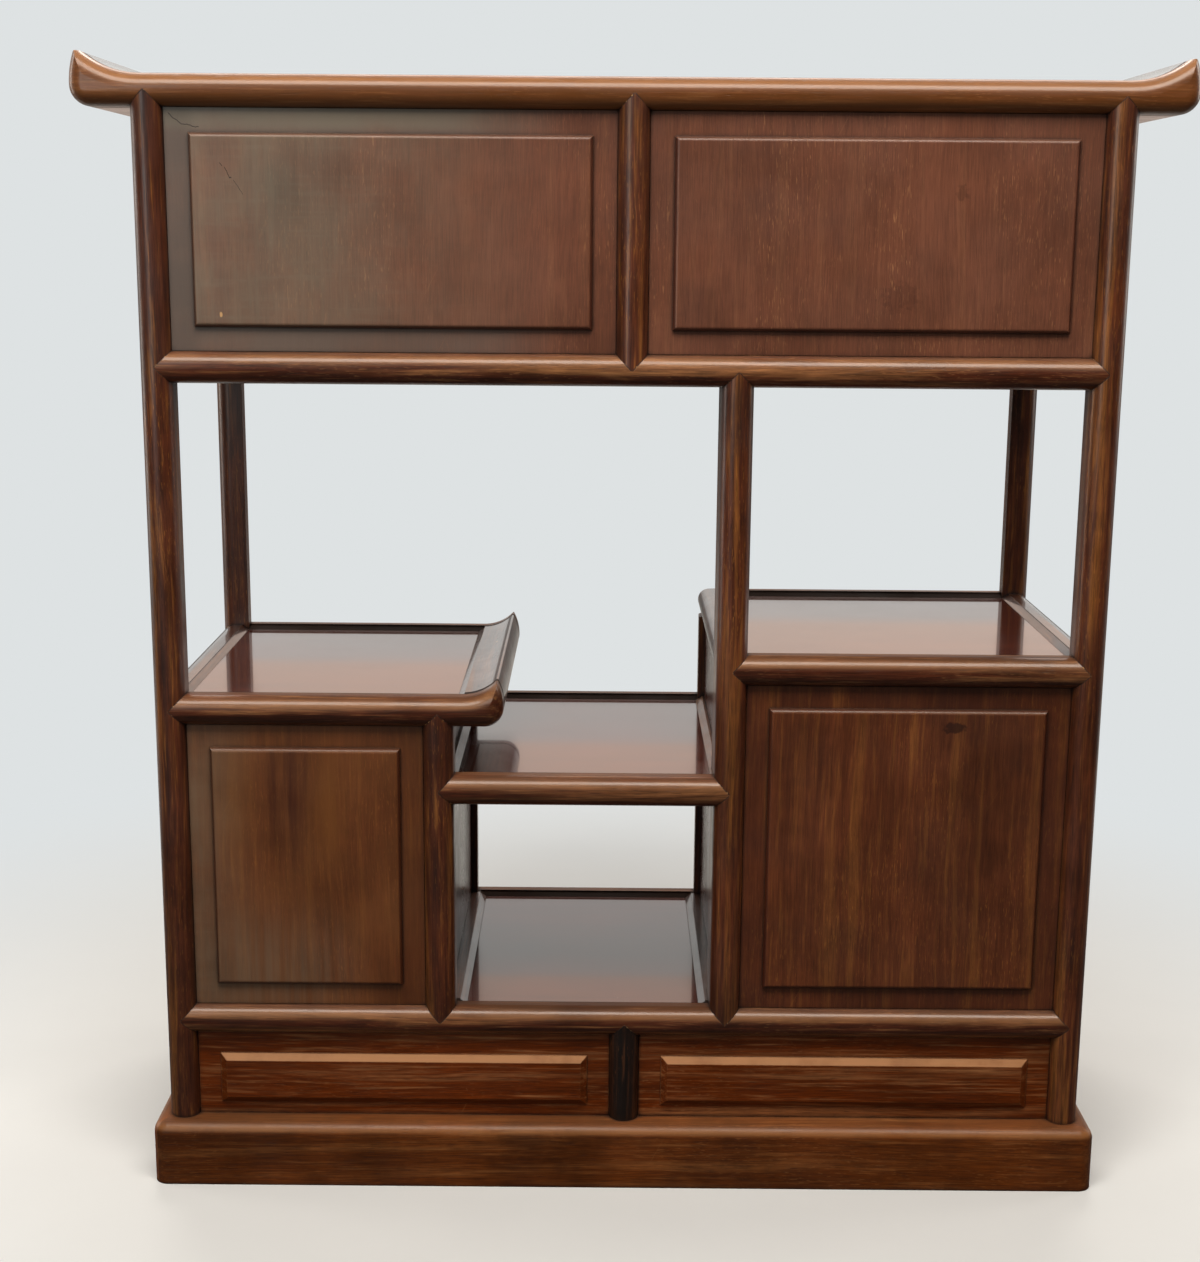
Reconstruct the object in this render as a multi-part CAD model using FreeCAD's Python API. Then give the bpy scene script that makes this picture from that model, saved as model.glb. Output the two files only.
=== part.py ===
import FreeCAD, Part
import math
import os

# Display cabinet in dark hardwood, in millimetres.
# The origin is on the floor under the middle of the cabinet: +X to the right and +Y away
# from someone who looks at its panelled back, +Z up. Doors and drawers open towards +Y.

Vector = FreeCAD.Vector
X = Vector(1, 0, 0)
Y = Vector(0, 1, 0)
Z = Vector(0, 0, 1)

# Carcass: places of the post axes and width of every post and rail
POST_SPAN_X = 800.0
POST_SPAN_Y = 312.0
MEMBER = 27.0
INNER_POST_X = -166.0
CENTRE_POST_X = 90.0
CENTRE_POST_DEPTH = 54.0
MUNTIN_X = 0.0

# Heights of the rail axes above the plinth
BASE_RAIL_RISE = 93.0
MIDDLE_SHELF_RISE = 309.0
LEFT_SHELF_RISE = 380.0
RIGHT_SHELF_RISE = 419.0
UPPER_RAIL_RISE = 677.0
TOP_RAIL_RISE = 902.0

# Plinth
PLINTH_HEIGHT = 59.0
PLINTH_PROJECTION = 13.0
PLINTH_RAIL_WIDTH = 48.0
PLINTH_CORNER_RADIUS = 13.0
PLINTH_EDGE_RADIUS = 11.0
DECK_THICKNESS = 12.0

# Upturned rail ends: where the rise starts and ends, from the outer face of the last post
TOP_SCROLL_START = -8.0
TOP_SCROLL_REACH = 49.0
TOP_SCROLL_LIFT = 20.3
TOP_SCROLL_TIP_RADIUS = 5.0
SHELF_SCROLL_START = 8.0
SHELF_SCROLL_REACH = 44.0
SHELF_SCROLL_LIFT = 13.3
SHELF_SCROLL_TIP_RADIUS = 1.5
SCROLL_LIP = 6.0
SCROLL_CORNER_RADIUS = 17.0
RIDGE_FLAT = 0.2
SHELF_SCROLL_WIDTH = 41.0

# Joints between fixed members
JOINT_GAP = 0.1
TENON_LENGTH = 9.0
TENON_THICKNESS = 6.5
TENON_INSET = 1.5
TENON_REACH = 8.0
TENON_MIDDLE = 0.5
POST_TENON_WIDTH = 12.0
FOOT_TENON = 10.0
BEARER_TENON = 3.5

# Upright panels
PANEL_THICKNESS = 12.0
PANEL_SETBACK = 11.0
PANEL_TONGUE = 5.0
TONGUE_THICKNESS = 6.0
FIELD_BORDER = 20.0
BASE_BORDER_BELOW = 11.5
BASE_BORDER_ABOVE = 20.5
FIELD_LIFT = 5.0
FIELD_STEP = 1.0
FIELD_BEVEL = 6.0
BAY_WALL_SETBACK = 6.7

# Shelf panels and the bevelled recess round each
SHELF_THICKNESS = 10.0
SHELF_TONGUE = 5.0
SHELF_TONGUE_THICKNESS = 5.0
RECESS_DEPTH = 5.0
RECESS_STEP = 1.0
BEVEL_WIDTH = 6.0
BAY_FLOOR_LIP = 9.0
CLEAT_REACH = 2.0

# Sliding doors of the upper case
TRACK_RAIL_DEPTH = 46.0
SLIDER_THICKNESS = 10.0
SLIDER_SETBACK = 12.5
SLIDER_PITCH = 16.0
SLIDER_FIELD_LIFT = 4.0
SLIDER_OVERLAP = 30.0
SLIDER_CLEARANCE = 1.0
SLIDER_EDGE_GAP = 1.5
TRACK_TONGUE = 6.0
TRACK_SIDE_GAP = 0.4
TRACK_RUN_GAP = 0.3
LOWER_TRACK_DEPTH = 4.0
UPPER_TRACK_DEPTH = 8.0
UPPER_TRACK_ENTRY = 5.0
PULL_RADIUS = 13.0
PULL_DEPTH = 8.0
PULL_WALL = 1.5
PULL_INSET = 52.0

# Hinged doors and drawers
DOOR_THICKNESS = 16.0
DOOR_SETBACK = 12.0
DOOR_CLEARANCE = 1.0
DOOR_FIELD_BORDER = 30.0
PIN_RADIUS = 2.5
PIN_CLEARANCE = 0.05
PIN_SEAT = 7.0
PIN_REACH = 12.0
KNOB_INSET = 15.0
KNOB_LENGTH = 17.0
KNOB_RADIUS = 7.5
KNOB_NECK = 3.5
KNOB_ROSE_RADIUS = 8.0
KNOB_ROSE = 2.0
KNOB_SPIGOT = 9.0
KNOB_SPIGOT_RADIUS = 3.0
DRAWER_LENGTH = 252.0
DRAWER_SIDE = 9.0
DRAWER_SIDE_INSET = 3.0
DRAWER_SIDE_HEIGHT = 58.0
DRAWER_SIDE_TONGUE = 6.0
DRAWER_SIDE_SHOULDER = 2.25
DRAWER_BOTTOM = 5.0
DRAWER_BOTTOM_RISE = 6.0
DRAWER_BOTTOM_TONGUE = 4.0
DRAWER_RUN_GAP = 0.3
GUIDE_HEIGHT = 18.0

# Places that follow from the sizes above
HALF = MEMBER / 2
LEFT = -POST_SPAN_X / 2
RIGHT = POST_SPAN_X / 2
BACK = -POST_SPAN_Y / 2
FRONT = POST_SPAN_Y / 2
LEFT_FACE = LEFT + HALF
RIGHT_FACE = RIGHT - HALF
BACK_FACE = BACK + HALF
FRONT_FACE = FRONT - HALF
BASE_Z = PLINTH_HEIGHT + BASE_RAIL_RISE
MIDDLE_Z = PLINTH_HEIGHT + MIDDLE_SHELF_RISE
LEFT_SHELF_Z = PLINTH_HEIGHT + LEFT_SHELF_RISE
RIGHT_SHELF_Z = PLINTH_HEIGHT + RIGHT_SHELF_RISE
UPPER_Z = PLINTH_HEIGHT + UPPER_RAIL_RISE
TOP_Z = PLINTH_HEIGHT + TOP_RAIL_RISE
RIDGE_Y = FRONT + HALF
RIDGE_X = RIGHT + HALF
TENON_HIGH = (TENON_MIDDLE, TENON_REACH)
TENON_LOW = (-TENON_REACH, -TENON_MIDDLE)
TENON_POST = (-POST_TENON_WIDTH / 2, POST_TENON_WIDTH / 2)

# Borders of the raised fields: at both sides, below and above
PANEL_BORDERS = (FIELD_BORDER, FIELD_BORDER, FIELD_BORDER)
BASE_BORDERS = (FIELD_BORDER, BASE_BORDER_BELOW, BASE_BORDER_ABOVE)
DOOR_BORDERS = (DOOR_FIELD_BORDER, DOOR_FIELD_BORDER, DOOR_FIELD_BORDER)

pieces = {}


def keep(name, shape):
    """Store one named piece, which has to be a single solid."""
    if len(shape.Solids) != 1:
        raise ValueError(f"{name} came out as {len(shape.Solids)} solids")
    pieces[name] = shape.Solids[0]


def same(first, second):
    """Whether two places along an axis agree, to half of a joint's gap."""
    return abs(first - second) < JOINT_GAP / 2


def cut_from(names, tool):
    """Take the same tool out of several pieces."""
    for name in names:
        keep(name, pieces[name].cut(tool))


def box_between(first, second):
    """Box between two opposite corners, given in any order."""
    low = Vector(min(first.x, second.x), min(first.y, second.y), min(first.z, second.z))
    return Part.makeBox(abs(first.x - second.x), abs(first.y - second.y), abs(first.z - second.z), low)


def block(x_limits, y_limits, z_limits):
    """Box from its limits along the three axes."""
    low = Vector(x_limits[0], y_limits[0], z_limits[0])
    return box_between(low, Vector(x_limits[1], y_limits[1], z_limits[1]))


def prism(points, sweep):
    """Solid with straight sides on a polygon."""
    return Part.Face(Part.makePolygon(points + points[:1])).extrude(sweep)


def bar(start, stop, outward, depth=MEMBER):
    """Bar between two points on its axis, half round on the outward side and square inside."""
    run = (stop - start).normalize()
    across = run.cross(outward)
    inside = outward * (depth - HALF)
    low = start - across * HALF
    high = start + across * HALF
    edges = [
        Part.Arc(low, start + outward * HALF, high).toShape(),
        Part.makeLine(high, high - inside),
        Part.makeLine(high - inside, low - inside),
        Part.makeLine(low - inside, low),
    ]
    return Part.Face(Part.Wire(edges)).extrude(stop - start)


def beak_prism(tip, toward, outward, slack):
    """Right-angled wedge over the outer half of a joint, with its edge at the tip."""
    across = toward.cross(outward)
    edge = tip + toward * (slack * math.sqrt(2)) - outward * slack
    reach = HALF + slack * math.sqrt(2)
    corners = [edge, edge - toward * reach + across * reach, edge - toward * reach - across * reach]
    return prism(corners, outward * (HALF + 2 * slack))


def beak(tip, toward, outward):
    """Pointed end that fits the crossing of two half-round members."""
    shoulder = tip - toward * HALF
    return bar(shoulder, tip, outward).common(beak_prism(tip, toward, outward, 0.0))


def tenon(shoulder, toward, outward, across, limits, slack=0.0):
    """Stub tenon on the inner half of a member's end."""
    inset = TENON_INSET - slack
    far_inset = TENON_INSET + TENON_THICKNESS + slack
    near = shoulder - outward * inset + across * (limits[0] - slack)
    far = shoulder - outward * far_inset + across * (limits[1] + slack) + toward * (TENON_LENGTH + slack)
    return box_between(near, far)


def join(ending, receiving, tip, toward, outward, across, limits, beaked=True):
    """Run one member's end into another, by a stub tenon and a beak at the tip."""
    shoulder = tip - toward * HALF
    end = pieces[ending].fuse(tenon(shoulder, toward, outward, across, limits))
    socket = pieces[receiving].cut(tenon(shoulder, toward, outward, across, limits, JOINT_GAP))
    if beaked:
        end = end.fuse(beak(tip, toward, outward))
        socket = socket.cut(beak_prism(tip, toward, outward, JOINT_GAP))
    keep(ending, end.removeSplitter())
    keep(receiving, socket)


def corner_post(x, y):
    """Post that is round outside and square in the corner that faces the inside."""
    axis = Vector(x, y, PLINTH_HEIGHT)
    inward_x = X * -math.copysign(HALF, x)
    inward_y = Y * -math.copysign(HALF, y)
    side = axis + inward_x
    end = axis + inward_y
    corner = axis + inward_x + inward_y
    outermost = axis - (inward_x + inward_y) * math.sqrt(0.5)
    edges = [
        Part.makeLine(side, corner),
        Part.makeLine(corner, end),
        Part.Arc(end, axis - inward_x, outermost).toShape(),
        Part.Arc(outermost, axis - inward_y, side).toShape(),
    ]
    return Part.Face(Part.Wire(edges)).extrude(Z * (TOP_Z - HALF - PLINTH_HEIGHT))


def foot(name, x, y, receivers):
    """Square tenon that stands a post in the plinth."""
    half = FOOT_TENON / 2
    centre = Vector(x, y, PLINTH_HEIGHT)
    slack = Vector(JOINT_GAP, JOINT_GAP, 0)
    corner = Vector(half, half, 0)
    keep(name, pieces[name].fuse(box_between(centre - corner, centre + corner - Z * TENON_LENGTH)))
    deep = Z * (TENON_LENGTH + JOINT_GAP)
    hole = box_between(centre - corner - slack, centre + corner + slack - deep)
    for receiver in receivers:
        keep(receiver, pieces[receiver].cut(hole))


def rail_x(name, left, right, y, z, depth=MEMBER):
    """Rail along X between the axes of two posts, round towards the back or the front."""
    outward = Y * math.copysign(1, y)
    keep(name, bar(Vector(left + HALF, y, z), Vector(right - HALF, y, z), outward, depth))


def rail_y(name, x, z):
    """Rail along Y between a back and a front corner post, round towards the side."""
    outward = X * math.copysign(1, x)
    keep(name, bar(Vector(x, BACK_FACE, z), Vector(x, FRONT_FACE, z), outward))
    side = "left" if x < 0 else "right"
    join(name, f"post_back_{side}", Vector(x, BACK, z), -Y, outward, Z, TENON_LOW)
    join(name, f"post_front_{side}", Vector(x, FRONT, z), Y, outward, Z, TENON_LOW)


def scroll_radii(start, reach, lift):
    """Radii of the hollow arc and the bulging arc of an upturned end."""
    hollow_run = reach - SCROLL_LIP - start
    bulge_rise = MEMBER + lift - SCROLL_CORNER_RADIUS
    hollow = (hollow_run ** 2 + lift ** 2) / (2 * lift)
    bulge = (SCROLL_LIP ** 2 + bulge_rise ** 2) / (2 * SCROLL_LIP)
    return hollow, bulge


def scroll_edges(origin, outward, start, reach, lift):
    """Outline of an upturned end, from the underside round the tip to the flat top.

    The end is a corner arc and a bulging arc that both stand upright where they meet, and a
    hollow arc that leaves the flat top without a kink. Places are measured from the origin,
    which is on the underside at the outer face of the last post.
    """
    def place(out, up):
        return origin + outward * out + Z * up

    tip_out = reach - SCROLL_LIP
    tip_up = MEMBER + lift
    hollow_radius, bulge_radius = scroll_radii(start, reach, lift)
    hollow_turn = math.asin((tip_out - start) / hollow_radius) / 2
    bulge_turn = math.asin((tip_up - SCROLL_CORNER_RADIUS) / bulge_radius) / 2
    corner_out = reach - SCROLL_CORNER_RADIUS
    corner_turn = SCROLL_CORNER_RADIUS * math.sqrt(0.5)
    corner_start = place(corner_out, 0)
    corner_middle = place(corner_out + corner_turn, SCROLL_CORNER_RADIUS - corner_turn)
    corner_end = place(reach, SCROLL_CORNER_RADIUS)
    bulge_middle = place(
        reach - bulge_radius * (1 - math.cos(bulge_turn)),
        SCROLL_CORNER_RADIUS + bulge_radius * math.sin(bulge_turn),
    )
    tip = place(tip_out, tip_up)
    hollow_middle = place(
        start + hollow_radius * math.sin(hollow_turn),
        MEMBER + hollow_radius * (1 - math.cos(hollow_turn)),
    )
    hollow_end = place(start, MEMBER)
    return [
        Part.Arc(corner_start, corner_middle, corner_end).toShape(),
        Part.Arc(corner_end, bulge_middle, tip).toShape(),
        Part.Arc(tip, hollow_middle, hollow_end).toShape(),
    ]


def tip_cutter(origin, outward, start, reach, lift, tip_radius):
    """Cutter through the cabinet's depth that rounds an upturned end's tip.

    Its arc has the tip's radius and lies inside the bulging arc and outside the hollow one; it is
    larger by half of a joint's gap, so that it crosses both instead of just touching them.
    """
    def place(spot):
        return origin + outward * spot.x + Z * spot.y

    hollow, bulge = scroll_radii(start, reach, lift)
    hollow_centre = Vector(start, MEMBER + hollow)
    bulge_centre = Vector(reach - bulge, SCROLL_CORNER_RADIUS)
    apart = hollow_centre - bulge_centre
    inside = bulge - tip_radius
    along = (inside ** 2 - (hollow + tip_radius) ** 2 + apart.Length ** 2) / (2 * apart.Length)
    unit = apart / apart.Length
    centre = bulge_centre + unit * along + Vector(unit.y, -unit.x) * math.sqrt(inside ** 2 - along ** 2)
    side_way = (centre - bulge_centre).normalize()
    top_way = (hollow_centre - centre).normalize()
    arc_radius = tip_radius + JOINT_GAP / 2
    side = centre + side_way * arc_radius
    middle = centre + (side_way + top_way).normalize() * arc_radius
    top = centre + top_way * arc_radius
    clear_out = reach + tip_radius
    clear_up = MEMBER + lift + tip_radius
    corners = [top, Vector(top.x, clear_up), Vector(clear_out, clear_up), Vector(clear_out, side.y), side]
    edges = [Part.Arc(place(side), place(middle), place(top)).toShape()]
    for here, there in zip(corners, corners[1:]):
        edges.append(Part.makeLine(place(here), place(there)))
    return Part.Face(Part.Wire(edges)).extrude(Y * (2 * RIDGE_Y))


def close_outline(edges):
    """Face inside a chain of edges, with a straight line wherever one ends short of the next."""
    closed = []
    for edge, following in zip(edges, edges[1:] + edges[:1]):
        closed.append(edge)
        here = edge.Vertexes[-1].Point
        there = following.Vertexes[0].Point
        if not same(here.distanceToPoint(there), 0):
            closed.append(Part.makeLine(here, there))
    return Part.Face(Part.Wire(closed))


def round_ridge(solid, ridge_y):
    """Round a rail's outer face by a half circle along its outline, but not where it ends square."""
    def to_round(edge):
        limits = edge.BoundBox
        square_end = same(limits.XLength, 0)
        return same(limits.YMin, ridge_y) and same(limits.YMax, ridge_y) and not square_end

    return solid.makeFillet(HALF - RIDGE_FLAT / 2, [edge for edge in solid.Edges if to_round(edge)])


def top_rail(name, y):
    """Top rail in one piece with the upturned ends at its left and right."""
    ridge = math.copysign(RIDGE_Y, y)
    inner = math.copysign(RIDGE_Y - MEMBER, y)
    low = TOP_Z - HALF
    curve = (TOP_SCROLL_START, TOP_SCROLL_REACH, TOP_SCROLL_LIFT)
    right = scroll_edges(Vector(RIDGE_X, ridge, low), X, *curve)
    left = scroll_edges(Vector(-RIDGE_X, ridge, low), -X, *curve)
    rail = close_outline(right + reverse_chain(left)).extrude(Y * (inner - ridge))
    keep(name, round_ridge(rail, ridge))


def reverse_chain(edges):
    """The same arcs run the other way."""
    turned = []
    for edge in reversed(edges):
        first, last = edge.ParameterRange
        middle = edge.valueAt((first + last) / 2)
        turned.append(Part.Arc(edge.valueAt(last), middle, edge.valueAt(first)).toShape())
    return turned


def top_end(name, side):
    """Upturned end of the top, between the two top rails."""
    outward = X * side
    low = TOP_Z - HALF
    edges = scroll_edges(
        Vector(side * RIDGE_X, BACK_FACE, low), outward, TOP_SCROLL_START, TOP_SCROLL_REACH, TOP_SCROLL_LIFT
    )
    inner = side * RIGHT_FACE
    edges.append(Part.makeLine(Vector(inner, BACK_FACE, TOP_Z + HALF), Vector(inner, BACK_FACE, low)))
    keep(name, close_outline(edges).extrude(Y * (FRONT_FACE - BACK_FACE)))
    end_tenons(name, side * RIGHT, TOP_Z, ("top_rail_back", "top_rail_front"))


def end_tenons(name, x, z, rails):
    """Tenons of an upturned end in the two rails beside it, in the upper half of their height."""
    limits = (x - POST_TENON_WIDTH / 2, x + POST_TENON_WIDTH / 2)
    rise = (z - TENON_MIDDLE, z + TENON_REACH)
    for rail, y, toward in ((rails[0], BACK_FACE, -1), (rails[1], FRONT_FACE, 1)):
        keep(name, pieces[name].fuse(block(limits, (y, y + toward * TENON_LENGTH), rise)))
        wide = (limits[0] - JOINT_GAP, limits[1] + JOINT_GAP)
        high = (rise[0] - JOINT_GAP, rise[1] + JOINT_GAP)
        cut_from([rail], block(wide, (y, y + toward * (TENON_LENGTH + JOINT_GAP)), high))


def left_shelf_rail(name, y):
    """Rail of the left shelf from the corner post to its upturned right end."""
    ridge = math.copysign(RIDGE_Y, y)
    inner = math.copysign(RIDGE_Y - MEMBER, y)
    low = LEFT_SHELF_Z - HALF
    post_face = INNER_POST_X + HALF
    edges = scroll_edges(
        Vector(post_face, ridge, low), X, SHELF_SCROLL_START, SHELF_SCROLL_REACH, SHELF_SCROLL_LIFT
    )
    edges.append(Part.makeLine(Vector(LEFT_FACE, ridge, low + MEMBER), Vector(LEFT_FACE, ridge, low)))
    rail = close_outline(edges).extrude(Y * (inner - ridge))
    keep(name, round_ridge(rail, ridge))


def left_shelf_end(name):
    """Upturned end of the left shelf, between its two rails."""
    low = LEFT_SHELF_Z - HALF
    post_face = INNER_POST_X + HALF
    inner = post_face + SHELF_SCROLL_REACH - SHELF_SCROLL_WIDTH
    edges = scroll_edges(
        Vector(post_face, BACK_FACE, low), X, SHELF_SCROLL_START, SHELF_SCROLL_REACH, SHELF_SCROLL_LIFT
    )
    edges.append(Part.makeLine(Vector(inner, BACK_FACE, low + MEMBER), Vector(inner, BACK_FACE, low)))
    keep(name, close_outline(edges).extrude(Y * (FRONT_FACE - BACK_FACE)))
    middle = (inner + post_face + SHELF_SCROLL_REACH) / 2
    end_tenons(name, middle, LEFT_SHELF_Z, ("left_shelf_rail_back", "left_shelf_rail_front"))
    return inner


def shrink(limits, gap):
    """Limits drawn in by a gap at both ends."""
    return (limits[0] + gap, limits[1] - gap)


def raised_board(across, span, rise, outward, face, thickness, borders, lift, sloped=False):
    """Board with a raised field on its outward side; face is the place of its border's surface.

    The field stands up by a small step. Above the step its edges are rounded, or slope in to its crown.
    """
    beside, below, above = borders
    wide = shrink(span, beside)
    high = (rise[0] + below, rise[1] - above)

    def corner(u, n, z):
        return across * u + outward * n + Z * z

    def field_block(top):
        return box_between(corner(wide[0], face - lift, high[0]), corner(wide[1], top, high[1]))

    def outline(inset, level):
        left, right = shrink(wide, inset)
        low, top = shrink(high, inset)
        corners = [(left, low), (right, low), (right, top), (left, top)]
        points = [corner(u, level, z) for u, z in corners]
        return Part.makePolygon(points + points[:1])

    def on_crown(edge):
        return all(same(vertex.Point.dot(outward), face + lift) for vertex in edge.Vertexes)

    board = box_between(corner(span[0], face - thickness, rise[0]), corner(span[1], face, rise[1]))
    if sloped:
        slope = [outline(0.0, face + FIELD_STEP), outline(FIELD_BEVEL, face + lift)]
        field = field_block(face + FIELD_STEP).fuse(Part.makeLoft(slope, True, True))
    else:
        field = field_block(face + lift)
        field = field.makeFillet(lift - FIELD_STEP, [edge for edge in field.Edges if on_crown(edge)])
    return board.fuse(field).removeSplitter()


def panel(name, across, span, rise, outward, face, neighbours, borders=PANEL_BORDERS, sloped=False):
    """Raised panel held by a tongue in the members round its opening."""
    def tongue(gap):
        reach = PANEL_TONGUE + gap
        half = TONGUE_THICKNESS / 2 + gap
        middle = face - PANEL_THICKNESS / 2
        near = across * (span[0] - reach) + outward * (middle - half) + Z * (rise[0] - reach)
        far = across * (span[1] + reach) + outward * (middle + half) + Z * (rise[1] + reach)
        return box_between(near, far)

    inner_span = shrink(span, JOINT_GAP)
    inner_rise = shrink(rise, JOINT_GAP)
    board = raised_board(
        across, inner_span, inner_rise, outward, face, PANEL_THICKNESS, borders, FIELD_LIFT, sloped
    )
    keep(name, board.fuse(tongue(0.0)).removeSplitter())
    cut_from(neighbours, tongue(JOINT_GAP))


def flat_panel(name, x_limits, y_limits, rise, neighbours):
    """Plain upright panel across X, tongued into the members round it."""
    middle = (x_limits[0] + x_limits[1]) / 2

    def tongue(gap):
        reach = PANEL_TONGUE + gap
        half = TONGUE_THICKNESS / 2 + gap
        wide = (y_limits[0] - reach, y_limits[1] + reach)
        return block((middle - half, middle + half), wide, (rise[0] - reach, rise[1] + reach))

    board = block(x_limits, shrink(y_limits, JOINT_GAP), shrink(rise, JOINT_GAP))
    keep(name, board.fuse(tongue(0.0)).removeSplitter())
    cut_from(neighbours, tongue(JOINT_GAP))


def shelf_panel(name, x_limits, y_limits, top, neighbours, thickness=SHELF_THICKNESS):
    """Level panel whose four edges are tongued into the rails round it."""
    middle = top - thickness / 2

    def tongues(gap):
        half = SHELF_TONGUE_THICKNESS / 2 + gap
        reach = SHELF_TONGUE + gap
        level = (middle - half, middle + half)
        draw = JOINT_GAP - gap
        wide = block((x_limits[0] - reach, x_limits[1] + reach), shrink(y_limits, draw), level)
        deep = block(shrink(x_limits, draw), (y_limits[0] - reach, y_limits[1] + reach), level)
        return wide.fuse(deep)

    board = block(shrink(x_limits, JOINT_GAP), shrink(y_limits, JOINT_GAP), (top - thickness, top))
    keep(name, board.fuse(tongues(0.0)).removeSplitter())
    cut_from(neighbours, tongues(JOINT_GAP))


def rectangle(x_limits, y_limits, z):
    """Level rectangle as a wire."""
    corners = [
        Vector(x_limits[0], y_limits[0], z),
        Vector(x_limits[1], y_limits[0], z),
        Vector(x_limits[1], y_limits[1], z),
        Vector(x_limits[0], y_limits[1], z),
    ]
    return Part.makePolygon(corners + corners[:1])


def recess(x_limits, y_limits, rail_top, rails):
    """Bevel and small step cut round the inner edge of a shelf's rails."""
    step_z = rail_top - RECESS_STEP
    wide_x = shrink(x_limits, -BEVEL_WIDTH)
    wide_y = shrink(y_limits, -BEVEL_WIDTH)
    low = rectangle(x_limits, y_limits, rail_top - RECESS_DEPTH)
    bevel = Part.makeLoft([low, rectangle(wide_x, wide_y, step_z)], True, True)
    cut_from(rails, bevel.fuse(block(wide_x, wide_y, (step_z, rail_top + MEMBER))))


def shelf(name, x_limits, y_limits, rail_z, rails, posts=()):
    """Level panel set below the tops of its rails, with the bevelled recess round it."""
    top = rail_z + HALF
    shelf_panel(name, x_limits, y_limits, top - RECESS_DEPTH, rails + list(posts))
    recess(x_limits, y_limits, top, rails)


def make_plinth():
    """Four mitred rails with rolled top edges, and the deck between them."""
    half_x = RIDGE_X + PLINTH_PROJECTION
    half_y = RIDGE_Y + PLINTH_PROJECTION
    inner_x = half_x - PLINTH_RAIL_WIDTH
    inner_y = half_y - PLINTH_RAIL_WIDTH
    whole = block((-half_x, half_x), (-half_y, half_y), (0, PLINTH_HEIGHT))
    upright = [edge for edge in whole.Edges if edge.BoundBox.ZLength > PLINTH_HEIGHT / 2]
    whole = whole.makeFillet(PLINTH_CORNER_RADIUS, upright)
    rim = [edge for edge in whole.Edges if same(edge.BoundBox.ZMin, PLINTH_HEIGHT)]
    whole = whole.makeFillet(PLINTH_EDGE_RADIUS, rim)
    signs = ((-1, -1), (1, -1), (1, 1), (-1, 1))
    outer = [Vector(half_x * along, half_y * across) for along, across in signs]
    inner = [Vector(inner_x * along, inner_y * across) for along, across in signs]
    names = ("plinth_back", "plinth_right", "plinth_front", "plinth_left")
    for turn, name in enumerate(names):
        following = (turn + 1) % len(names)
        corners = [outer[turn], outer[following], inner[following], inner[turn]]
        keep(name, whole.common(prism(corners, Z * PLINTH_HEIGHT)))
    shelf_panel("plinth_deck", (-inner_x, inner_x), (-inner_y, inner_y), PLINTH_HEIGHT, names, DECK_THICKNESS)
    return names


def make_posts(plinth):
    """Corner posts, the posts beside the open bay and the short posts between panels."""
    for side, x in (("left", LEFT), ("right", RIGHT)):
        for end, y in (("back", BACK), ("front", FRONT)):
            name = f"post_{end}_{side}"
            keep(name, corner_post(x, y))
            foot(name, x, y, plinth)
    upright_posts = (
        ("post_back_inner", INNER_POST_X, BACK, BASE_Z, LEFT_SHELF_Z, MEMBER),
        ("post_front_inner", INNER_POST_X, FRONT, BASE_Z, LEFT_SHELF_Z, MEMBER),
        ("post_back_centre", CENTRE_POST_X, BACK, BASE_Z, UPPER_Z, CENTRE_POST_DEPTH),
        ("post_front_centre", CENTRE_POST_X, FRONT, BASE_Z, RIGHT_SHELF_Z, MEMBER),
        ("muntin_upper_back", MUNTIN_X, BACK, UPPER_Z, TOP_Z, MEMBER),
    )
    for name, x, y, low, high, depth in upright_posts:
        outward = Y * math.copysign(1, y)
        keep(name, bar(Vector(x, y, low + HALF), Vector(x, y, high - HALF), outward, depth))
    for end, y in (("back", BACK), ("front", FRONT)):
        name = f"muntin_base_{end}"
        outward = Y * math.copysign(1, y)
        keep(name, bar(Vector(MUNTIN_X, y, PLINTH_HEIGHT), Vector(MUNTIN_X, y, BASE_Z - HALF), outward))
        foot(name, MUNTIN_X, y, plinth)


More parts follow.
